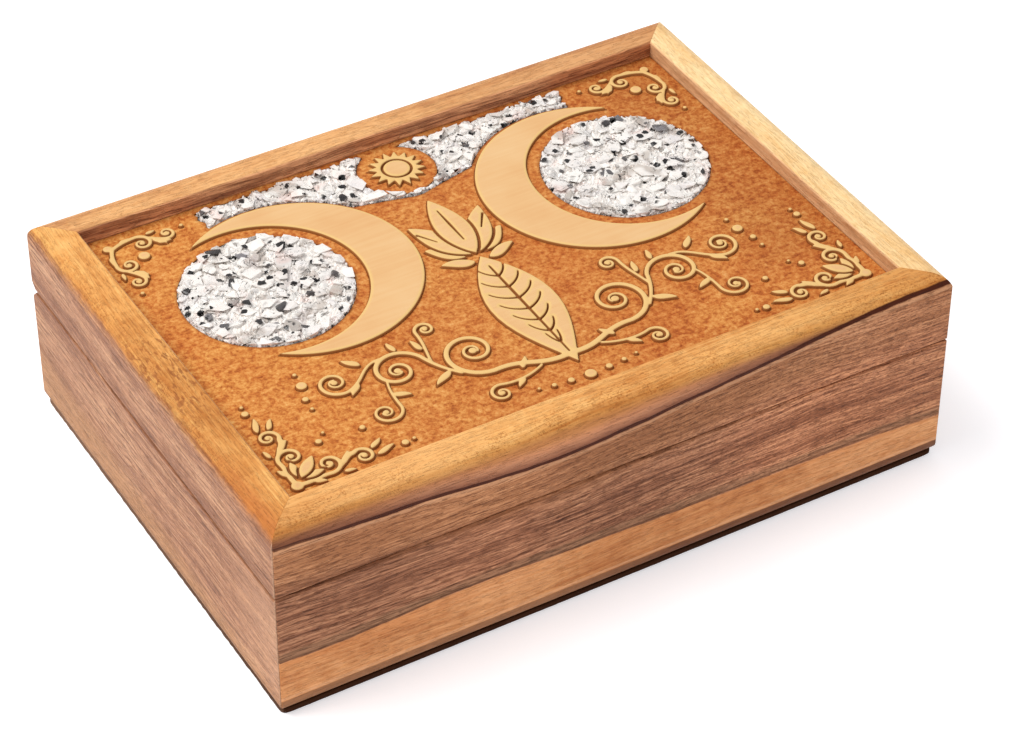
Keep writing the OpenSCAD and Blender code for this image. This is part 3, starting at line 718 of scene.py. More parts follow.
        if kind == "front":
            curled((2.6, 2.6), (1.0, -0.3), (11.6, 5.6), 3.3, -100, 1.55, 1, (0.4, 0.4), 0.7, 0.58)
            curled((8.6, 2.6), (1.0, -0.25), (19.6, 3.9), 2.7, 110, 1.45, -1, (0.45, 0.4), 0.36, 0.54)
            leaves(((6.2, 2.2), -38, 3.4, 1.5, 0.15), ((8.0, 2.9), 96, 4.6, 1.7, 0.2), ((14.6, 3.6), 68, 4.8, 1.8, -0.22),
                   ((15.6, 5.4), 28, 4.4, 1.6, -0.2), ((22.2, 5.2), 52, 4.2, 1.6, -0.25), ((22.3, 3.0), 2, 5.4, 1.7, 0.2),
                   ((13.4, 1.8), -30, 3.2, 1.3, 0.2))
            fan = blank()
            for turn, l, wd in ((44, 6.0, 2.3), (0, 8.0, 3.0)):
                h = blank()
                for k in {-1, 1} if turn else {1}:
                    add_polygon(h, at(leaf_shape((4.3, 4.3), 45 + k * turn, l, wd, 0.0, 0.9)))
                fan = np.minimum(np.maximum(fan, 0.45 - h), h)
            w = np.minimum(np.maximum(w, 0.5 - fan), fan)
            dots((2.4, 2.4, 1.5), (29.6, 3.4, 0.95), (32.0, 3.7, 0.55), (13.2, 13.2, 0.85), (15.4, 15.4, 0.5))
        else:
            curled((3.2, 3.2), (0.9, -0.5), (10.4, 4.3), 2.9, -95, 1.45, 1, (0.4, 0.4), 0.6, 0.55)
            curled((8.2, 1.6), (1.0, -0.2), (17.2, 3.4), 2.1, 110, 1.35, -1, (0.4, 0.4), 0.34, 0.5)
            leaves(((5.6, 2.0), -30, 3.4, 1.5, 0.2), ((13.4, 3.8), 66, 4.2, 1.6, -0.22), ((13.8, 5.6), 24, 3.8, 1.5, -0.2),
                   ((12.6, 1.6), -24, 3.0, 1.2, 0.2))
            dots((2.4, 2.4, 1.2), (8.9, 8.9, 1.5), (21.6, 2.4, 0.6))
        return w

    for sx in (-1, 1):
        f = np.minimum(f, corner(sx * 77.2, -50.6, -sx, 1, 1.0, "front"))
        f = np.minimum(f, corner(sx * 77.0, 51.4, -sx, -1, 1.0, "back"))

    # stone pockets
    p = blank()
    for s in (-1, 1):
        p = np.minimum(p, np.hypot(X - s * DISC_X, Y - DISC_Y) - DISC_R)
    rough = np.random.default_rng(4)
    band = [(x, 52.8 - rough.uniform(0, 0.9)) for x in np.arange(49.5, -50, -1.7)]
    band += [(-50.9, 52.0), (-50.2, 50.6), (-51.0, 49.3), (-49.6, 47.4), (-50.3, 45.8)]
    band += [(x, band_low(x)) for x in np.linspace(-49.6, 49.2, 40)]
    band += [(50.4, 46.0), (49.4, 47.8), (51.0, 49.6), (50.2, 51.6)]
    d = polygon_distance(band, X, Y)
    for s in (-1, 1):
        d = np.maximum(d, MOON_R + 1.0 - np.hypot(X - s * MOON_X, Y - DISC_Y))
    d = np.maximum(d, 9.8 - np.hypot(X, Y - SUN_Y))
    p = np.minimum(p, d)
    return f, p


def band_low(x):
    q = abs(x) / BAND_W
    return 31.2 + 10.5 * q ** 0.85 + 3 * q ** 9


# ---------------------------------------------------------------- lid panel mesh

def isoline(field, level, spacing=0.38):
    """Closed or open chains of points where field equals level, evenly spaced."""
    a = field - level
    a = np.where(np.abs(a) < 1e-9, 1e-9, a)
    neg = a < 0
    ny, nx = a.shape
    across = neg[:, :-1] != neg[:, 1:]          # crossings on edges along X
    along = neg[:-1, :] != neg[1:, :]           # crossings on edges along Y
    pts, hid, vid = [], np.full(across.shape, -1), np.full(along.shape, -1)
    jj, ii = np.nonzero(across)
    q = a[jj, ii] / (a[jj, ii] - a[jj, ii + 1])
    hid[jj, ii] = np.arange(len(jj))
    pts.append(np.stack([GX[ii] + q * CELL, GY[jj]], 1))
    base = len(jj)
    jj, ii = np.nonzero(along)
    q = a[jj, ii] / (a[jj, ii] - a[jj + 1, ii])
    vid[jj, ii] = base + np.arange(len(jj))
    pts.append(np.stack([GX[ii], GY[jj] + q * CELL], 1))
    pts = np.concatenate(pts)
    near = {}
    cells = np.nonzero(across[:-1] | across[1:] | along[:, :-1] | along[:, 1:])
    for j, i in zip(*cells):
        e = [k for k in (hid[j, i], vid[j, i + 1], hid[j + 1, i], vid[j, i]) if k >= 0]
        if len(e) == 2:
            pairs = [(e[0], e[1])]
        elif len(e) == 4:
            mid = a[j:j + 2, i:i + 2].mean() < 0
            pairs = [(e[0], e[1]), (e[2], e[3])] if mid != neg[j, i] else [(e[0], e[3]), (e[1], e[2])]
        else:
            continue
        for u, w in pairs:
            near.setdefault(u, []).append(w)
            near.setdefault(w, []).append(u)
    chains, used = [], set()
    for start in near:
        if start in used:
            continue
        chain, here, prev = [start], start, None
        used.add(start)
        while True:
            nxt = [k for k in near[here] if k != prev and (k not in used or (k == start and len(chain) > 2))]
            if not nxt:
                break
            prev, here = here, nxt[0]
            if here == start:
                chain.append(start)
                break
            used.add(here)
            chain.append(here)
        c = pts[chain]
        if len(c) < 4:
            continue
        closed = chain[0] == chain[-1]
        step = np.r_[0, np.cumsum(np.hypot(*np.diff(c, axis=0).T))]
        if step[-1] < 0.9:
            continue
        n = max(6, int(round(step[-1] / spacing)))
        s = np.linspace(0, step[-1], n + 1)
        c = np.stack([np.interp(s, step, c[:, 0]), np.interp(s, step, c[:, 1])], 1)
        chains.append((c[:-1] if closed else c, closed))
    return chains


def sample(field, x, y):
    """The field at points, between its grid points."""
    u = np.clip((np.asarray(x) - GX[0]) / CELL, 0, len(GX) - 1.001)
    v = np.clip((np.asarray(y) - GY[0]) / CELL, 0, len(GY) - 1.001)
    i, j = u.astype(int), v.astype(int)
    u, v = u - i, v - j
    return (field[j, i] * (1 - u) * (1 - v) + field[j, i + 1] * u * (1 - v)
            + field[j + 1, i] * (1 - u) * v + field[j + 1, i + 1] * u * v)


def mesh_object(name, verts, faces, body, attributes=(), smooth=True, angle=None):
    me = bpy.data.meshes.new(name)
    me.from_pydata([tuple(v) for v in verts], [], [tuple(f) for f in faces])
    me.validate()
    for key, values in attributes:
        me.attributes.new(key, "FLOAT", "POINT").data.foreach_set("value", np.asarray(values, np.float32))
    me.polygons.foreach_set("use_smooth", [smooth] * len(me.polygons))
    if angle is not None:
        me.set_sharp_from_angle(angle=math.radians(angle))
    ob = bpy.data.objects.new(name, me)
    scene.collection.objects.link(ob)
    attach(ob, body)
    return ob


def lid_panel_mesh(f, p):
    """One closed mesh: engraved ground, raised figures with eased edges, and the stone pockets."""
    rng = np.random.default_rng(5)
    pts, edge, lvl, plvl = [], [], [], []

    def add(c, closed, level=None, plevel=None):
        n0 = len(pts)
        pts.extend(c)
        lvl.extend([level] * len(c))
        plvl.extend([plevel] * len(c))
        m = len(c)
        edge.extend((n0 + k, n0 + (k + 1) % m) for k in range(m if closed else m - 1))

    ex, ey = IL + 3.4, IW + 3.4
    rim = ([(-ex + k, -ey) for k in np.linspace(0, 2 * ex, 84)[:-1]] + [(ex, -ey + k) for k in np.linspace(0, 2 * ey, 58)[:-1]]
           + [(ex - k, ey) for k in np.linspace(0, 2 * ex, 84)[:-1]] + [(-ex, ey - k) for k in np.linspace(0, 2 * ey, 58)[:-1]])
    add(np.array(rim), True)
    n_rim = len(rim)
    for level in (1.0, 0.4, 0.0, -0.07, -0.2, -0.4):
        for c, closed in isoline(f, level, 0.36 if level < 0.5 else 0.7):
            add(c, closed, level)
    for level in (0.0, -0.12):
        for c, closed in isoline(p, level, 0.6):
            add(c, closed, None, level)
    gx, gy = np.meshgrid(np.arange(-82, 82.1, 0.8), np.arange(-56.5, 56.6, 0.8))
    gx = (gx + rng.uniform(-0.24, 0.24, gx.shape)).ravel()
    gy = (gy + rng.uniform(-0.24, 0.24, gy.shape)).ravel()
    fv, pv = sample(f, gx, gy), sample(p, gx, gy)
    keep = ((fv > 1.25) | (fv < -0.65)) & (np.abs(pv + 0.06) > 0.5) & (np.abs(gx) < ex - 0.4) & (np.abs(gy) < ey - 0.4)
    for x, y in zip(gx[keep], gy[keep]):
        pts.append((x, y)); lvl.append(None); plvl.append(None)
    out = geometry.delaunay_2d_cdt([Vector((float(x), float(y))) for x, y in pts], edge, [], 0, 1e-5)
    co = np.array([(v[0], v[1]) for v in out[0]])
    fv, pv = sample(f, co[:, 0], co[:, 1]), sample(p, co[:, 0], co[:, 1])
    for k, src in enumerate(out[3]):
        for s in src:
            if lvl[s] is not None:
                fv[k] = lvl[s]
            if plvl[s] is not None:
                pv[k] = plvl[s]
    z = np.interp(fv, [-0.4, -0.2, -0.07, 0.0], [RELIEF, RELIEF - 0.05, RELIEF - 0.2, 0.0])
    z += np.interp(pv, [-0.12, 0.0], [POCKET - GROUND, 0.0])
    ground = (fv > 0.3) & (pv > 0.2)
    z += np.where(ground, rng.normal(0, 0.02, len(z)), 0)
    inside = (np.abs(co[:, 0]) < IL + 0.3) & (np.abs(co[:, 1]) < IW + 0.3)
    z = np.where(inside, z, np.minimum(z, 0)) + GROUND
    verts = [(x * MM, y * MM, h * MM) for (x, y), h in zip(co, z)]
    faces = [tuple(t) for t in out[2]]
    where = {}
    for k, src in enumerate(out[3]):
        for s in src:
            where[s] = k
    loop = [where[k] for k in range(n_rim)]
    low = len(verts)
    verts += [(verts[k][0], verts[k][1], PANEL_LOW * MM) for k in loop]
    for k in range(n_rim):
        m = (k + 1) % n_rim
        faces.append((loop[m], loop[k], low + k, low + m))
    faces.append(tuple(low + k for k in range(n_rim))[::-1])
    fv = np.r_[fv, np.full(n_rim, 9.0)]
    pv = np.r_[pv, np.full(n_rim, 9.0)]
    ob = mesh_object("lid_panel_carved", verts, faces, "lid", (("edge", np.clip(fv, -4, 4)), ("pocket", np.clip(pv, -4, 4))), True, 60)
    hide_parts("lid_panel")
    return ob


def panel_material():
    t = Shade("carved_panel")
    edge = t.attribute("edge").outputs["Fac"]
    pocket = t.attribute("pocket").outputs["Fac"]
    e = E_TOP
    grit = t.noise(t.mm, 1.05, 3, 0.6)
    fine = t.noise(t.mm, 3.6, 2, 0.6)
    patch = t.noise(t.mm, 0.05, 3, 0.55)
    lines = t.noise(t.join(t.math("MULTIPLY", t.x, 0.10), t.math("MULTIPLY", t.y, 1.3), 0), 1, 3, 0.6)
    blot = t.noise(t.mm, 0.42, 3, 0.62, 0.8)
    v = t.math("ADD", t.math("MULTIPLY_ADD", grit, 0.50, t.math("MULTIPLY", fine, 0.16)), t.math("MULTIPLY_ADD", blot, 0.36, t.math("MULTIPLY", lines, 0.18)))
    ground = t.ramp(v, [(0.44, seen(164, 84, 34, e)), (0.55, seen(205, 120, 54, e)), (0.63, seen(227, 147, 74, e)),
                        (0.72, seen(242, 172, 98, e)), (0.80, seen(250, 192, 122, e))])
    ground = t.mix(t.fit(blot, 0.50, 0.40, 0, 0.55, True), ground, t.mix(1.0, ground, (0.99, 0.86, 0.78), "MULTIPLY"))
    side = t.math("MULTIPLY_ADD", t.x, 0.0032, t.math("MULTIPLY", t.math("SUBTRACT", patch, 0.5), 1.9))
    glow = t.math("MULTIPLY", t.fit(t.noise(t.mm, 0.045, 2, 0.5), 0.46, 0.62, smooth=True), t.fit(t.x, 30, -10, 0.25, 0.8))
    ground = t.mix(glow, ground, t.mix(1.0, ground, (1.06, 1.16, 1.20), "MULTIPLY"))
    red = t.mix(t.fit(side, -0.25, 0.35, 0.0, 0.95, True), ground, t.mix(1.0, ground, (0.90, 0.76, 0.68), "MULTIPLY"))
    red = t.mix(t.fit(t.x, -36, -60, smooth=True), red, t.mix(1.0, red, (1.05, 1.08, 1.04), "MULTIPLY"))
    red = t.mix(t.math("MULTIPLY", t.fit(t.x, 46, 66, smooth=True), t.fit(t.y, -44, -28, smooth=True)), red,
                t.mix(1.0, red, (0.90, 0.94, 0.96), "MULTIPLY"))
    red = t.mix(t.math("MULTIPLY", t.fit(t.x, 20, 36, smooth=True), t.fit(t.y, -34, -44, smooth=True)), red,
                t.mix(1.0, red, (1.05, 1.12, 1.12), "MULTIPLY"))
    # Darker ground round the raised figures: partly the laser's burn, partly painted shade at their foot
    burn_and_shade = t.math("MULTIPLY", t.fit(edge, 0.34, 0.02, smooth=True), 0.68)
    ground = t.mix(burn_and_shade, red, seen(128, 68, 30, e))
    # Darker ground round the stone pockets: partly a burnt edge, partly painted shade at the pocket's rim
    ring = t.math("MULTIPLY", t.fit(pocket, 0.8, 0.0, smooth=True), 0.45)
    ground = t.mix(ring, ground, seen(130, 72, 34, e))
    g2 = t.noise(t.join(t.math("MULTIPLY", t.x, 0.04), t.math("MULTIPLY", t.y, 0.9), 0), 1, 3, 0.6)
    soft = t.noise(t.mm, 0.07, 2, 0.5)
    top = t.ramp(t.math("MULTIPLY_ADD", soft, 0.6, t.math("MULTIPLY", g2, 0.4)),
                 [(0.3, seen(239, 185, 126, e)), (0.5, seen(245, 197, 139, e)), (0.7, seen(249, 206, 151, e))])
    rim = t.math("MULTIPLY", t.fit(edge, -1.0, -0.4, smooth=True), 0.8)
    top = t.mix(rim, top, seen(249, 208, 134, e))
    raised = t.fit(edge, -0.03, -0.16, smooth=True)
    wall = t.mix(raised, seen(172, 108, 54, e), top)
    c = t.mix(t.fit(edge, 0.012, -0.012), ground, wall)
    rough_h = t.math("ADD", t.math("MULTIPLY", grit, 0.8), t.math("MULTIPLY", fine, 0.35))
    off = t.fit(edge, 0.02, 0.2)
    b = t.bump(t.math("MULTIPLY", rough_h, off), 0.24 * MM, 0.9)
    b = t.bump(t.math("MULTIPLY", g2, t.fit(edge, -0.1, -0.3)), 0.02 * MM, 0.6, b)
    t.set(Base_Color=c, Roughness=t.fit(edge, -0.2, 0.1, 0.5, 0.72), Normal=b, Specular_IOR_Level=0.18)
    return t.mat


figure_field, pocket_field = figures()
panel = lid_panel_mesh(figure_field, pocket_field)
dress(panel, panel_material())


# ---------------------------------------------------------------- crushed stone

def chip_shapes(rng, n=36):
    """Angular chips, as (points, faces), each about one unit in radius."""
    shapes = []
    for k in range(n):
        m = int(rng.integers(9, 15))
        q = rng.normal(size=(m, 3))
        q /= np.linalg.norm(q, axis=1)[:, None]
        q *= rng.uniform(0.78, 1.0, (m, 1)) * np.array((1.0, rng.uniform(0.6, 0.95), rng.uniform(0.45, 0.75)))
        bm = bmesh.new()
        for c in q:
            bm.verts.new(c)
        made = bmesh.ops.convex_hull(bm, input=bm.verts)
        for v in [g for g in made["geom_interior"] if isinstance(g, bmesh.types.BMVert)]:
            bm.verts.remove(v)
        bmesh.ops.recalc_face_normals(bm, faces=bm.faces)
        bm.verts.index_update()
        shapes.append((np.array([v.co[:] for v in bm.verts]), np.array([[v.index for v in fc.verts] for fc in bm.faces])))
        bm.free()
    return shapes


def turned(rng, tilt):
    a = rng.uniform(0, 2 * math.pi)
    x, y = rng.normal(0, tilt, 2)
    return np.array(Matrix.Rotation(a, 3, "Z") @ Matrix.Rotation(x, 3, "X") @ Matrix.Rotation(y, 3, "Y"))


def scatter(rng, x0, x1, y0, y1, gap, inside, tries=9000):
    """Points at least gap apart where inside(x, y) holds."""
    cell, got, out = gap, {}, []
    for x, y in zip(rng.uniform(x0, x1, tries), rng.uniform(y0, y1, tries)):
        if not inside(x, y):
            continue
        i, j = int(x // cell), int(y // cell)
        if any((x - u) ** 2 + (y - w) ** 2 < gap * gap for a in (-1, 0, 1) for b in (-1, 0, 1) for u, w in got.get((i + a, j + b), ())):
            continue
        got.setdefault((i, j), []).append((x, y))
        out.append((x, y))
    return out


def pulled_in(q, field, limit):
    """Moves the points of a chip that stick out past the pocket's wall back to it."""
    x, y = q[:, 0], q[:, 1]
    gx = (sample(field, x + 0.3, y) - sample(field, x - 0.3, y)) / 0.6
    gy = (sample(field, x, y + 0.3) - sample(field, x, y - 0.3)) / 0.6
    push = np.clip(sample(field, x, y) - limit, 0, 4) / np.maximum(np.hypot(gx, gy), 0.5)
    return q - np.stack([gx * push, gy * push, np.zeros(len(q))], 1)


def stone_inlay(name, x0, x1, y0, y1, field, seed, cad, shapes, dark_gap, dark_r):
    """A pocket full of crushed stone: a bed of grit, then large, small and dark chips."""
    rng = np.random.default_rng(seed)
    verts, faces, tones = [], [], []

    def deep(d):
        return lambda x, y: sample(field, x, y) < -d

    def lay(spots, r_lo, r_hi, top_lo, top_hi, tone_of, tilt=0.5, flat=0.0):
        for x, y in spots:
            q, fc = shapes[int(rng.integers(len(shapes)))]
            r = rng.uniform(r_lo, r_hi)
            q = q @ turned(rng, tilt).T * r
            top = min(rng.uniform(top_lo, top_hi), 1.48)
            q[:, 2] += top + flat * r - q[:, 2].max()
            if flat:                                             # a broken face on top
                lean = rng.normal(0, 0.07, 2)
                q[:, 2] = np.minimum(q[:, 2], np.minimum(top + q[:, :2] @ lean, 1.48))
            q = pulled_in(q + (x, y, GROUND), field, rng.uniform(-0.5, 0.1))
            rest_on = np.where(sample(field, q[:, 0], q[:, 1]) > -0.05, GROUND + 0.04, POCKET + 0.02)
            q[:, 2] = np.maximum(q[:, 2], rest_on)
            base = sum(len(v) for v in verts)
            verts.append(q)
            faces.append(fc + base)
            tones.append(np.full(len(q), tone_of()))

    def pale():
        return rng.choice([rng.uniform(0, 0.55), rng.uniform(0.55, 0.75), rng.uniform(0.75, 0.93)], p=[0.955, 0.03, 0.015])

    lay(scatter(rng, x0, x1, y0, y1, 4.3, deep(1.0)), 2.5, 3.8, 0.85, 1.25, pale, 0.16, 0.40)
    lay(scatter(rng, x0, x1, y0, y1, 3.1, deep(0.7)), 1.5, 2.4, 0.60, 1.05, pale, 0.3, 0.30)
    lay(scatter(rng, x0, x1, y0, y1, 2.2, deep(0.4)), 1.0, 1.7, 0.30, 0.78, pale, 0.5, 0.2)
    lay(scatter(rng, x0, x1, y0, y1, 1.45, lambda x, y: -1.3 < sample(field, x, y) < -0.1), 0.70, 1.15, 0.20, 0.65, pale, 0.6, 0.1)
    lay(scatter(rng, x0, x1, y0, y1, dark_gap, deep(1.0), 400), 0.8, dark_r, 1.12, 1.42, lambda: rng.uniform(0.86, 0.98), 0.4, 0.3)

    g = 0.55                                                     # the bed of grit
    gx, gy = np.arange(x0 - 1, x1 + 1, g), np.arange(y0 - 1, y1 + 1, g)
    X, Y = np.meshgrid(gx, gy)
    d = sample(field, X, Y)
    keep = d < 0.25
    h = GROUND + 0.15 + rng.uniform(-0.25, 0.45, X.shape)
    h = np.where(d > -0.35, GROUND - 0.35, h)
    index = np.full(X.shape, -1)
    index[keep] = np.arange(keep.sum())
    base = sum(len(v) for v in verts)
    top = np.stack([X[keep] + rng.uniform(-0.15, 0.15, keep.sum()), Y[keep] + rng.uniform(-0.15, 0.15, keep.sum()), h[keep]], 1)
    low = top.copy(); low[:, 2] = POCKET
    n = len(top)
    quads = []
    for j in range(len(gy) - 1):
        for i in range(len(gx) - 1):
            q = [index[j, i], index[j, i + 1], index[j + 1, i + 1], index[j + 1, i]]
            if min(q) >= 0:
                quads.append(q)
    quads = np.array(quads)
    count = {}
    for q in quads:
        for k in range(4):
            count[(q[k], q[(k + 1) % 4])] = 1
    sides = [(b, a, a + n, b + n) for (a, b) in count if (b, a) not in count]
    all_faces = [tuple(int(k) for k in fc) for block in faces for fc in block]
    all_faces += [tuple(int(k) + base for k in q) for q in quads]
    all_faces += [tuple(int(k) + base + n for k in q[::-1]) for q in quads]
    all_faces += [tuple(int(k) + base for k in q) for q in sides]
    verts += [top, low]
    # Grit next to the pocket's wall takes mostly darker tones: painted shade along the pocket's edge
    dark = np.where(d[keep] > -0.55, rng.choice([0.45, 0.72, 0.84, 0.92], n), rng.uniform(0.0, 0.62, n))
    tones += [dark, np.full(n, 0.4)]
    v = np.concatenate(verts) * MM
    ob = mesh_object(name, v, all_faces, "lid", (("tone", np.concatenate(tones)),), False)
    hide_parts(cad)
    return ob


def stone_material():
    t = Shade("crushed_stone")
    tone_at = t.attribute("tone").outputs["Fac"]
    e = E_TOP
    c = t.ramp(tone_at, [(0.0, (0.89, 0.85, 0.80)), (0.34, (0.84, 0.79, 0.745)), (0.52, (0.78, 0.735, 0.705)),
                         (0.66, seen(216, 206, 196, e)), (0.80, seen(150, 146, 148, e)), (0.90, seen(84, 80, 80, e)),
                         (0.95, seen(30, 27, 28, e))])
    cloud = t.noise(t.mm, 0.42, 4, 0.62, 0.7)
    c = t.mix(t.fit(cloud, 0.57, 0.73, 0, 0.65, True), c, t.mix(1.0, c, (0.60, 0.58, 0.58), "MULTIPLY"))
    smoky = t.noise(t.mm, 0.12, 2, 0.5, 0.5)                       # greyer, clearer stones lie together
    c = t.mix(t.fit(smoky, 0.54, 0.65, 0, 0.85, True), c, t.mix(1.0, c, (0.60, 0.56, 0.53), "MULTIPLY"))
    tint = t.noise(t.mm, 0.16, 2, 0.5)
    c = t.mix(t.fit(tint, 0.56, 0.70, 0, 0.75, True), c, t.mix(1.0, c, (0.97, 0.82, 0.80), "MULTIPLY"))
    c = t.mix(t.fit(tint, 0.44, 0.30, 0, 0.6, True), c, t.mix(1.0, c, (0.93, 0.92, 0.97), "MULTIPLY"))
    jag = t.math("SUBTRACT", t.noise(t.mm, 1.5, 3, 0.65), 0.5)
    speck = t.math("ADD", t.voronoi(t.mm, 0.27), t.math("MULTIPLY", jag, 0.34))
    small = t.math("ADD", t.voronoi(t.mm, 0.62), t.math("MULTIPLY", jag, 0.5))
    some = t.math("ADD", t.noise(t.mm, 0.13, 2, 0.5), t.fit(t.x, -20, 40, 0.012, -0.03))
    m = t.math("MAXIMUM", t.math("MULTIPLY", t.fit(speck, 0.27, 0.24), t.fit(some, 0.44, 0.49)),
               t.math("MULTIPLY", t.fit(small, 0.19, 0.14), t.fit(some, 0.52, 0.58)))
    # Thin dark curved lines: partly black veins in the stone, partly painted shadow in the gaps between chips
    vein_and_gap_shade = t.math("ABSOLUTE", t.math("SUBTRACT", t.noise(t.mm, 0.30, 3, 0.6, 1.0), 0.5))
    m = t.math("MAXIMUM", m, t.math("MULTIPLY", t.fit(vein_and_gap_shade, 0.016, 0.006), t.fit(t.noise(t.mm, 0.22, 2, 0.5), 0.53, 0.58, 0, 0.85)))
    c = t.mix(m, c, seen(26, 23, 25, e))
    b = t.bump(t.noise(t.mm, 1.6, 3, 0.6), 0.12 * MM, 0.7)
    t.set(Base_Color=c, Roughness=t.fit(cloud, 0.3, 0.7, 0.14, 0.32), Normal=b, Specular_IOR_Level=0.5,
          Subsurface_Weight=0.32, Subsurface_Radius=(1.0, 0.92, 0.88), Subsurface_Scale=0.0015)
    return t.mat


shapes = chip_shapes(np.random.default_rng(11))
stone = stone_material()
for name, box, seed, cad in (("left_stone_chips", (-DISC_X - 22, -DISC_X + 22, DISC_Y - 22, DISC_Y + 22), 21, "left_stone_inlay"),
                             ("right_stone_chips", (DISC_X - 22, DISC_X + 22, DISC_Y - 22, DISC_Y + 22), 22, "right_stone_inlay"),
                             ("back_stone_chips", (-49.5, 49.5, 30.8, 53), 23, "back_stone_inlay")):
    sub = blank()
    X, Y = np.meshgrid(GX, GY)
    if cad == "back_stone_inlay":
        sub = np.where(np.minimum(np.hypot(X - DISC_X, Y - DISC_Y), np.hypot(X + DISC_X, Y - DISC_Y)) - DISC_R > 0.9, pocket_field, 9.0)
    else:
        s = -1 if "left" in name else 1
        sub = np.hypot(X - s * DISC_X, Y - DISC_Y) - DISC_R
    ob = stone_inlay(name, *box, sub, seed, cad, shapes, 7.0 if "left" in name else 9.6, 2.3 if "left" in name else 1.5)
    dress(ob, stone)


# ---------------------------------------------------------------- linings, felt, board, brass

def velvet_material(name, base, tip, edge_tint=None):
    t = Shade(name)
    pile = t.noise(t.mm, 6.0, 2, 0.7)
    nap = t.noise(t.join(t.math("MULTIPLY", t.x, 0.05), t.math("MULTIPLY", t.y, 0.03), t.math("MULTIPLY", t.z, 0.05)), 1, 3, 0.6, 0.5)
    brushed = t.noise(t.join(t.math("MULTIPLY", t.x, 0.10), t.math("MULTIPLY", t.y, 0.6), t.z), 1, 2, 0.6)
    v = t.math("ADD", t.math("MULTIPLY_ADD", pile, 0.45, t.math("MULTIPLY", nap, 0.4)), t.math("MULTIPLY", brushed, 0.15))
    c = t.ramp(v, [(0.30, base), (0.70, tip)])
    if edge_tint:                                                     # the left edge, browner towards the back
        c = t.mix(t.math("MULTIPLY", t.fit(t.x, -87.6, -88.0), t.fit(t.y, -55, 45, 0.35, 1.0)), c, edge_tint)
    t.set(Base_Color=c, Roughness=0.95, Normal=t.bump(pile, 0.25 * MM, 0.9), Specular_IOR_Level=0.15,
          Sheen_Weight=0.55, Sheen_Roughness=0.35, Sheen_Tint=(0.75, 0.68, 0.85))
    return t.mat


def sheet_piece(name, body, cad, mat, round_r, swell, step=1.6, ragged=0.0, seed=3, grow=0.0, corner=0.0):
    """A thin closed sheet in the CAD sheet's place, with soft rounded edges and a little unevenness."""
    rng = np.random.default_rng(seed)
    lo, hi = (np.array(c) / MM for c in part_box(cad))
    lo[:2] -= grow
    hi[:2] += grow
    nx, ny = int((hi[0] - lo[0]) / step), int((hi[1] - lo[1]) / step)
    t = hi[2] - lo[2]
    r = min(round_r, t * 0.49)
    xs = np.r_[0, 0.3, 1, np.linspace(2.4, hi[0] - lo[0] - 2.4, nx), hi[0] - lo[0] - 1, hi[0] - lo[0] - 0.3, hi[0] - lo[0]] + lo[0]
    ys = np.r_[0, 0.3, 1, np.linspace(2.4, hi[1] - lo[1] - 2.4, ny), hi[1] - lo[1] - 1, hi[1] - lo[1] - 0.3, hi[1] - lo[1]] + lo[1]
    X, Y = np.meshgrid(xs, ys)
    d = np.minimum(np.minimum(X - lo[0], hi[0] - X), np.minimum(Y - lo[1], hi[1] - Y))
    drop = np.where(d < r, r - np.sqrt(np.maximum(r * r - (r - np.minimum(d, r)) ** 2, 0)), 0)
    wave = (np.sin(X * 0.11 + seed) * np.cos(Y * 0.13 - seed) + np.sin(X * 0.31 + Y * 0.23) * 0.4)
    soft = swell * (np.clip(d / 8, 0, 1)) * (wave - 1.4) * 0.5
    top = hi[2] - drop + soft + rng.normal(0, 0.008, X.shape) * (d > r)
    low = lo[2] + drop
    edge = d < 1e-6
    if ragged:
        jig = rng.uniform(0, ragged, X.shape)
        X = np.where(np.abs(X - lo[0]) < 1e-6, X + jig, np.where(np.abs(X - hi[0]) < 1e-6, X - jig, X))
        Y = np.where(np.abs(Y - lo[1]) < 1e-6, Y + jig, np.where(np.abs(Y - hi[1]) < 1e-6, Y - jig, Y))
    if corner:
        cx, cy = (lo[0] + hi[0]) / 2, (lo[1] + hi[1]) / 2
        a, b = np.abs(X - cx) - ((hi[0] - lo[0]) / 2 - corner), np.abs(Y - cy) - ((hi[1] - lo[1]) / 2 - corner)
        turn = np.where((a > 0) & (b > 0), np.maximum(a, b) / np.maximum(np.hypot(a, b), 1e-6), 1)
        X, Y = X - np.sign(X - cx) * np.maximum(a, 0) * (1 - turn), Y - np.sign(Y - cy) * np.maximum(b, 0) * (1 - turn)
    h, w = X.shape
    v = np.concatenate([np.stack([X, Y, top], -1).reshape(-1, 3), np.stack([X, Y, low], -1).reshape(-1, 3)]) * MM
    n = h * w
    ix = np.arange(n).reshape(h, w)
    f = []
    for j in range(h - 1):
        for i in range(w - 1):
            q = (ix[j, i], ix[j, i + 1], ix[j + 1, i + 1], ix[j + 1, i])
            f.append(q)
            f.append(tuple(k + n for k in q[::-1]))
    ring = list(ix[0, :-1]) + list(ix[:-1, -1]) + list(ix[-1, :0:-1]) + list(ix[:0:-1, 0])
    m = len(ring)
    f += [(ring[(k + 1) % m], ring[k], ring[k] + n, ring[(k + 1) % m] + n) for k in range(m)]
    ob = mesh_object(name, v, [tuple(int(k) for k in q) for q in f], body, (), True, 50)
    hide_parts(cad)
    dress(ob, mat)
    return ob


velvet = velvet_material("velvet", (0.010, 0.008, 0.013), (0.030, 0.024, 0.038))
# The felt is near black-brown: partly its own colour, partly painted shade for the dark shadow line under the box
felt = velvet_material("felt", (0.032, 0.011, 0.005), (0.066, 0.025, 0.012), (0.22, 0.13, 0.085))
felt.node_tree.nodes["Principled BSDF"].inputs["Sheen Weight"].default_value = 0.0
felt.node_tree.nodes["Principled BSDF"].inputs["Specular IOR Level"].default_value = 0.04
sheet_piece("floor_velvet", "base", "floor_lining", velvet, 0.5, 0.18)
sheet_piece("lid_velvet", "lid", "lid_lining", velvet, 0.5, 0.0)
sheet_piece("felt_sheet", "base", "base_felt", felt,
            0.3, 0.0, 1.2, 0.16, 7, 0.28, 1.8)


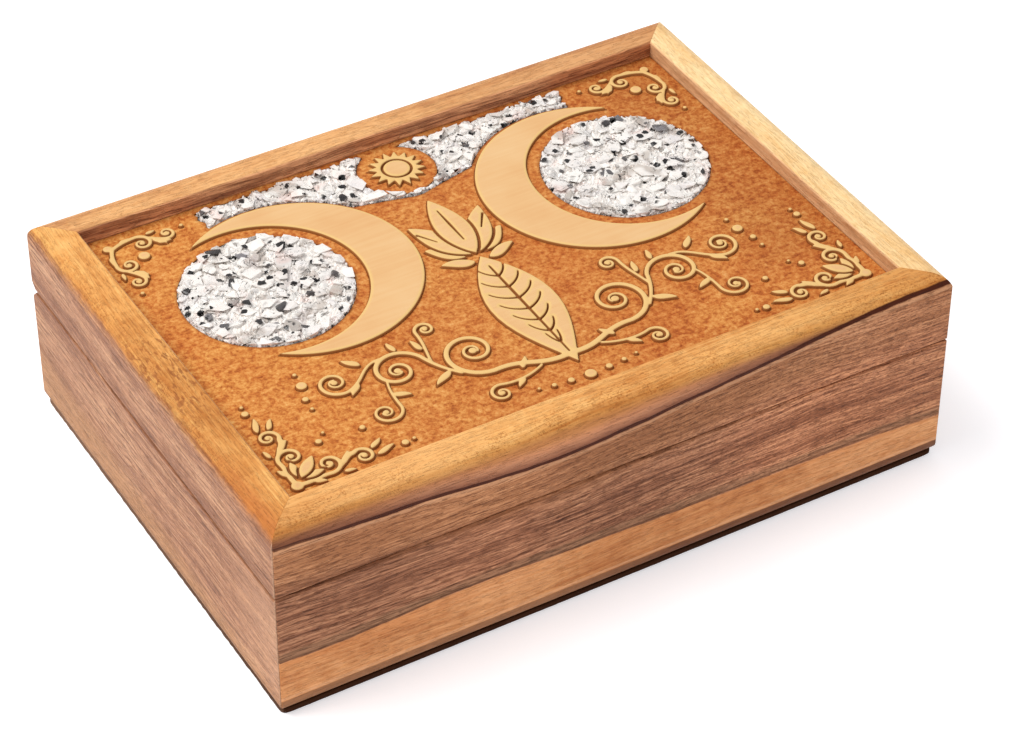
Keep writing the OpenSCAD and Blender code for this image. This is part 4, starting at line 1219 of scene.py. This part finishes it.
def ply_material():
    t = Shade("plywood")
    f = grain(t, "X", 6.0)
    v = tone(t, f, 0.2, 0.5, 0.3, 0.3, 0.1)
    face = t.ramp(v, [(0.2, seen(196, 152, 104, 1.1)), (0.5, seen(214, 174, 126, 1.1)), (0.8, seen(228, 192, 146, 1.1))])
    ply = t.math("FRACT", t.math("ADD", t.z, 0.6))
    face = t.mix(t.fit(t.math("ABSOLUTE", t.math("SUBTRACT", ply, 0.5)), 0.46, 0.5, 0, 0.6), face, seen(120, 84, 52, 1.1))
    return wood_finish(t, f, face, 0.7, 0.25, 0.05, 0.0)


def brass_material():
    t = Shade("brass")
    brushed = t.noise(t.join(t.math("MULTIPLY", t.x, 0.5), t.math("MULTIPLY", t.y, 7.0), t.math("MULTIPLY", t.z, 7.0)), 1, 3, 0.6)
    stain = t.noise(t.mm, 0.5, 3, 0.6)
    c = t.ramp(stain, [(0.3, (0.60, 0.40, 0.14)), (0.55, (0.76, 0.55, 0.22)), (0.8, (0.83, 0.63, 0.30))])
    t.set(Base_Color=c, Metallic=1.0, Roughness=t.fit(brushed, 0.3, 0.7, 0.22, 0.42), Normal=t.bump(brushed, 0.02 * MM, 0.6))
    return t.mat


dress(node["bottom_board"], ply_material())
eased(node["bottom_board"], 0.12)
brass = brass_material()
for n in ("hinge_leaf_base_left", "hinge_leaf_base_right", "hinge_leaf_lid_left", "hinge_leaf_lid_right",
          "hinge_pin_left", "hinge_pin_right", "base_hinge_screws", "lid_hinge_screws"):
    dress(node[n], brass)
    eased(node[n], 0.06, 2, 35)


# ---------------------------------------------------------------- floor and light

def floor():
    t = Shade("floor")
    n = t.noise(t.mm, 0.05, 3)
    t.set(Base_Color=t.ramp(n, [(0.3, (0.80, 0.80, 0.81)), (0.7, (0.82, 0.82, 0.83))]), Roughness=0.9,
          Emission_Color=(0.98, 0.97, 1.0), Emission_Strength=0.42, Specular_IOR_Level=0.2)
    me = bpy.data.meshes.new("floor")
    z = 0.02 * MM                                                # clear of the felt's own lower face
    me.from_pydata([(-4, -4, z), (4, -4, z), (4, 4, z), (-4, 4, z)], [], [(0, 1, 2, 3)])
    ob = bpy.data.objects.new("floor", me)
    scene.collection.objects.link(ob)
    me.materials.append(t.mat)


floor()


def area(name, where, size, power, colour=(1, 1, 1), at=(0, 0, 0.03)):
    d = bpy.data.lights.new(name, "AREA")
    d.shape, d.size, d.size_y, d.energy, d.color = "RECTANGLE", size[0], size[1], power, colour
    o = bpy.data.objects.new(name, d)
    scene.collection.objects.link(o)
    o.location = where
    o.rotation_mode = "QUATERNION"
    o.rotation_quaternion = (Vector(at) - Vector(where)).to_track_quat("-Z", "Y")
    return o


area("key", (-0.85, 0.45, 1.5), (1.1, 1.1), 26, (1.0, 0.985, 0.96))
area("fill", (0.5, -1.5, 1.0), (1.4, 1.0), 3.0, (1.0, 0.99, 1.0))
world = bpy.data.worlds.new("studio")
world.use_nodes = True
world.node_tree.nodes["Background"].inputs[0].default_value = (1.0, 0.995, 1.0, 1)
world.node_tree.nodes["Background"].inputs[1].default_value = 0.64
scene.world = world
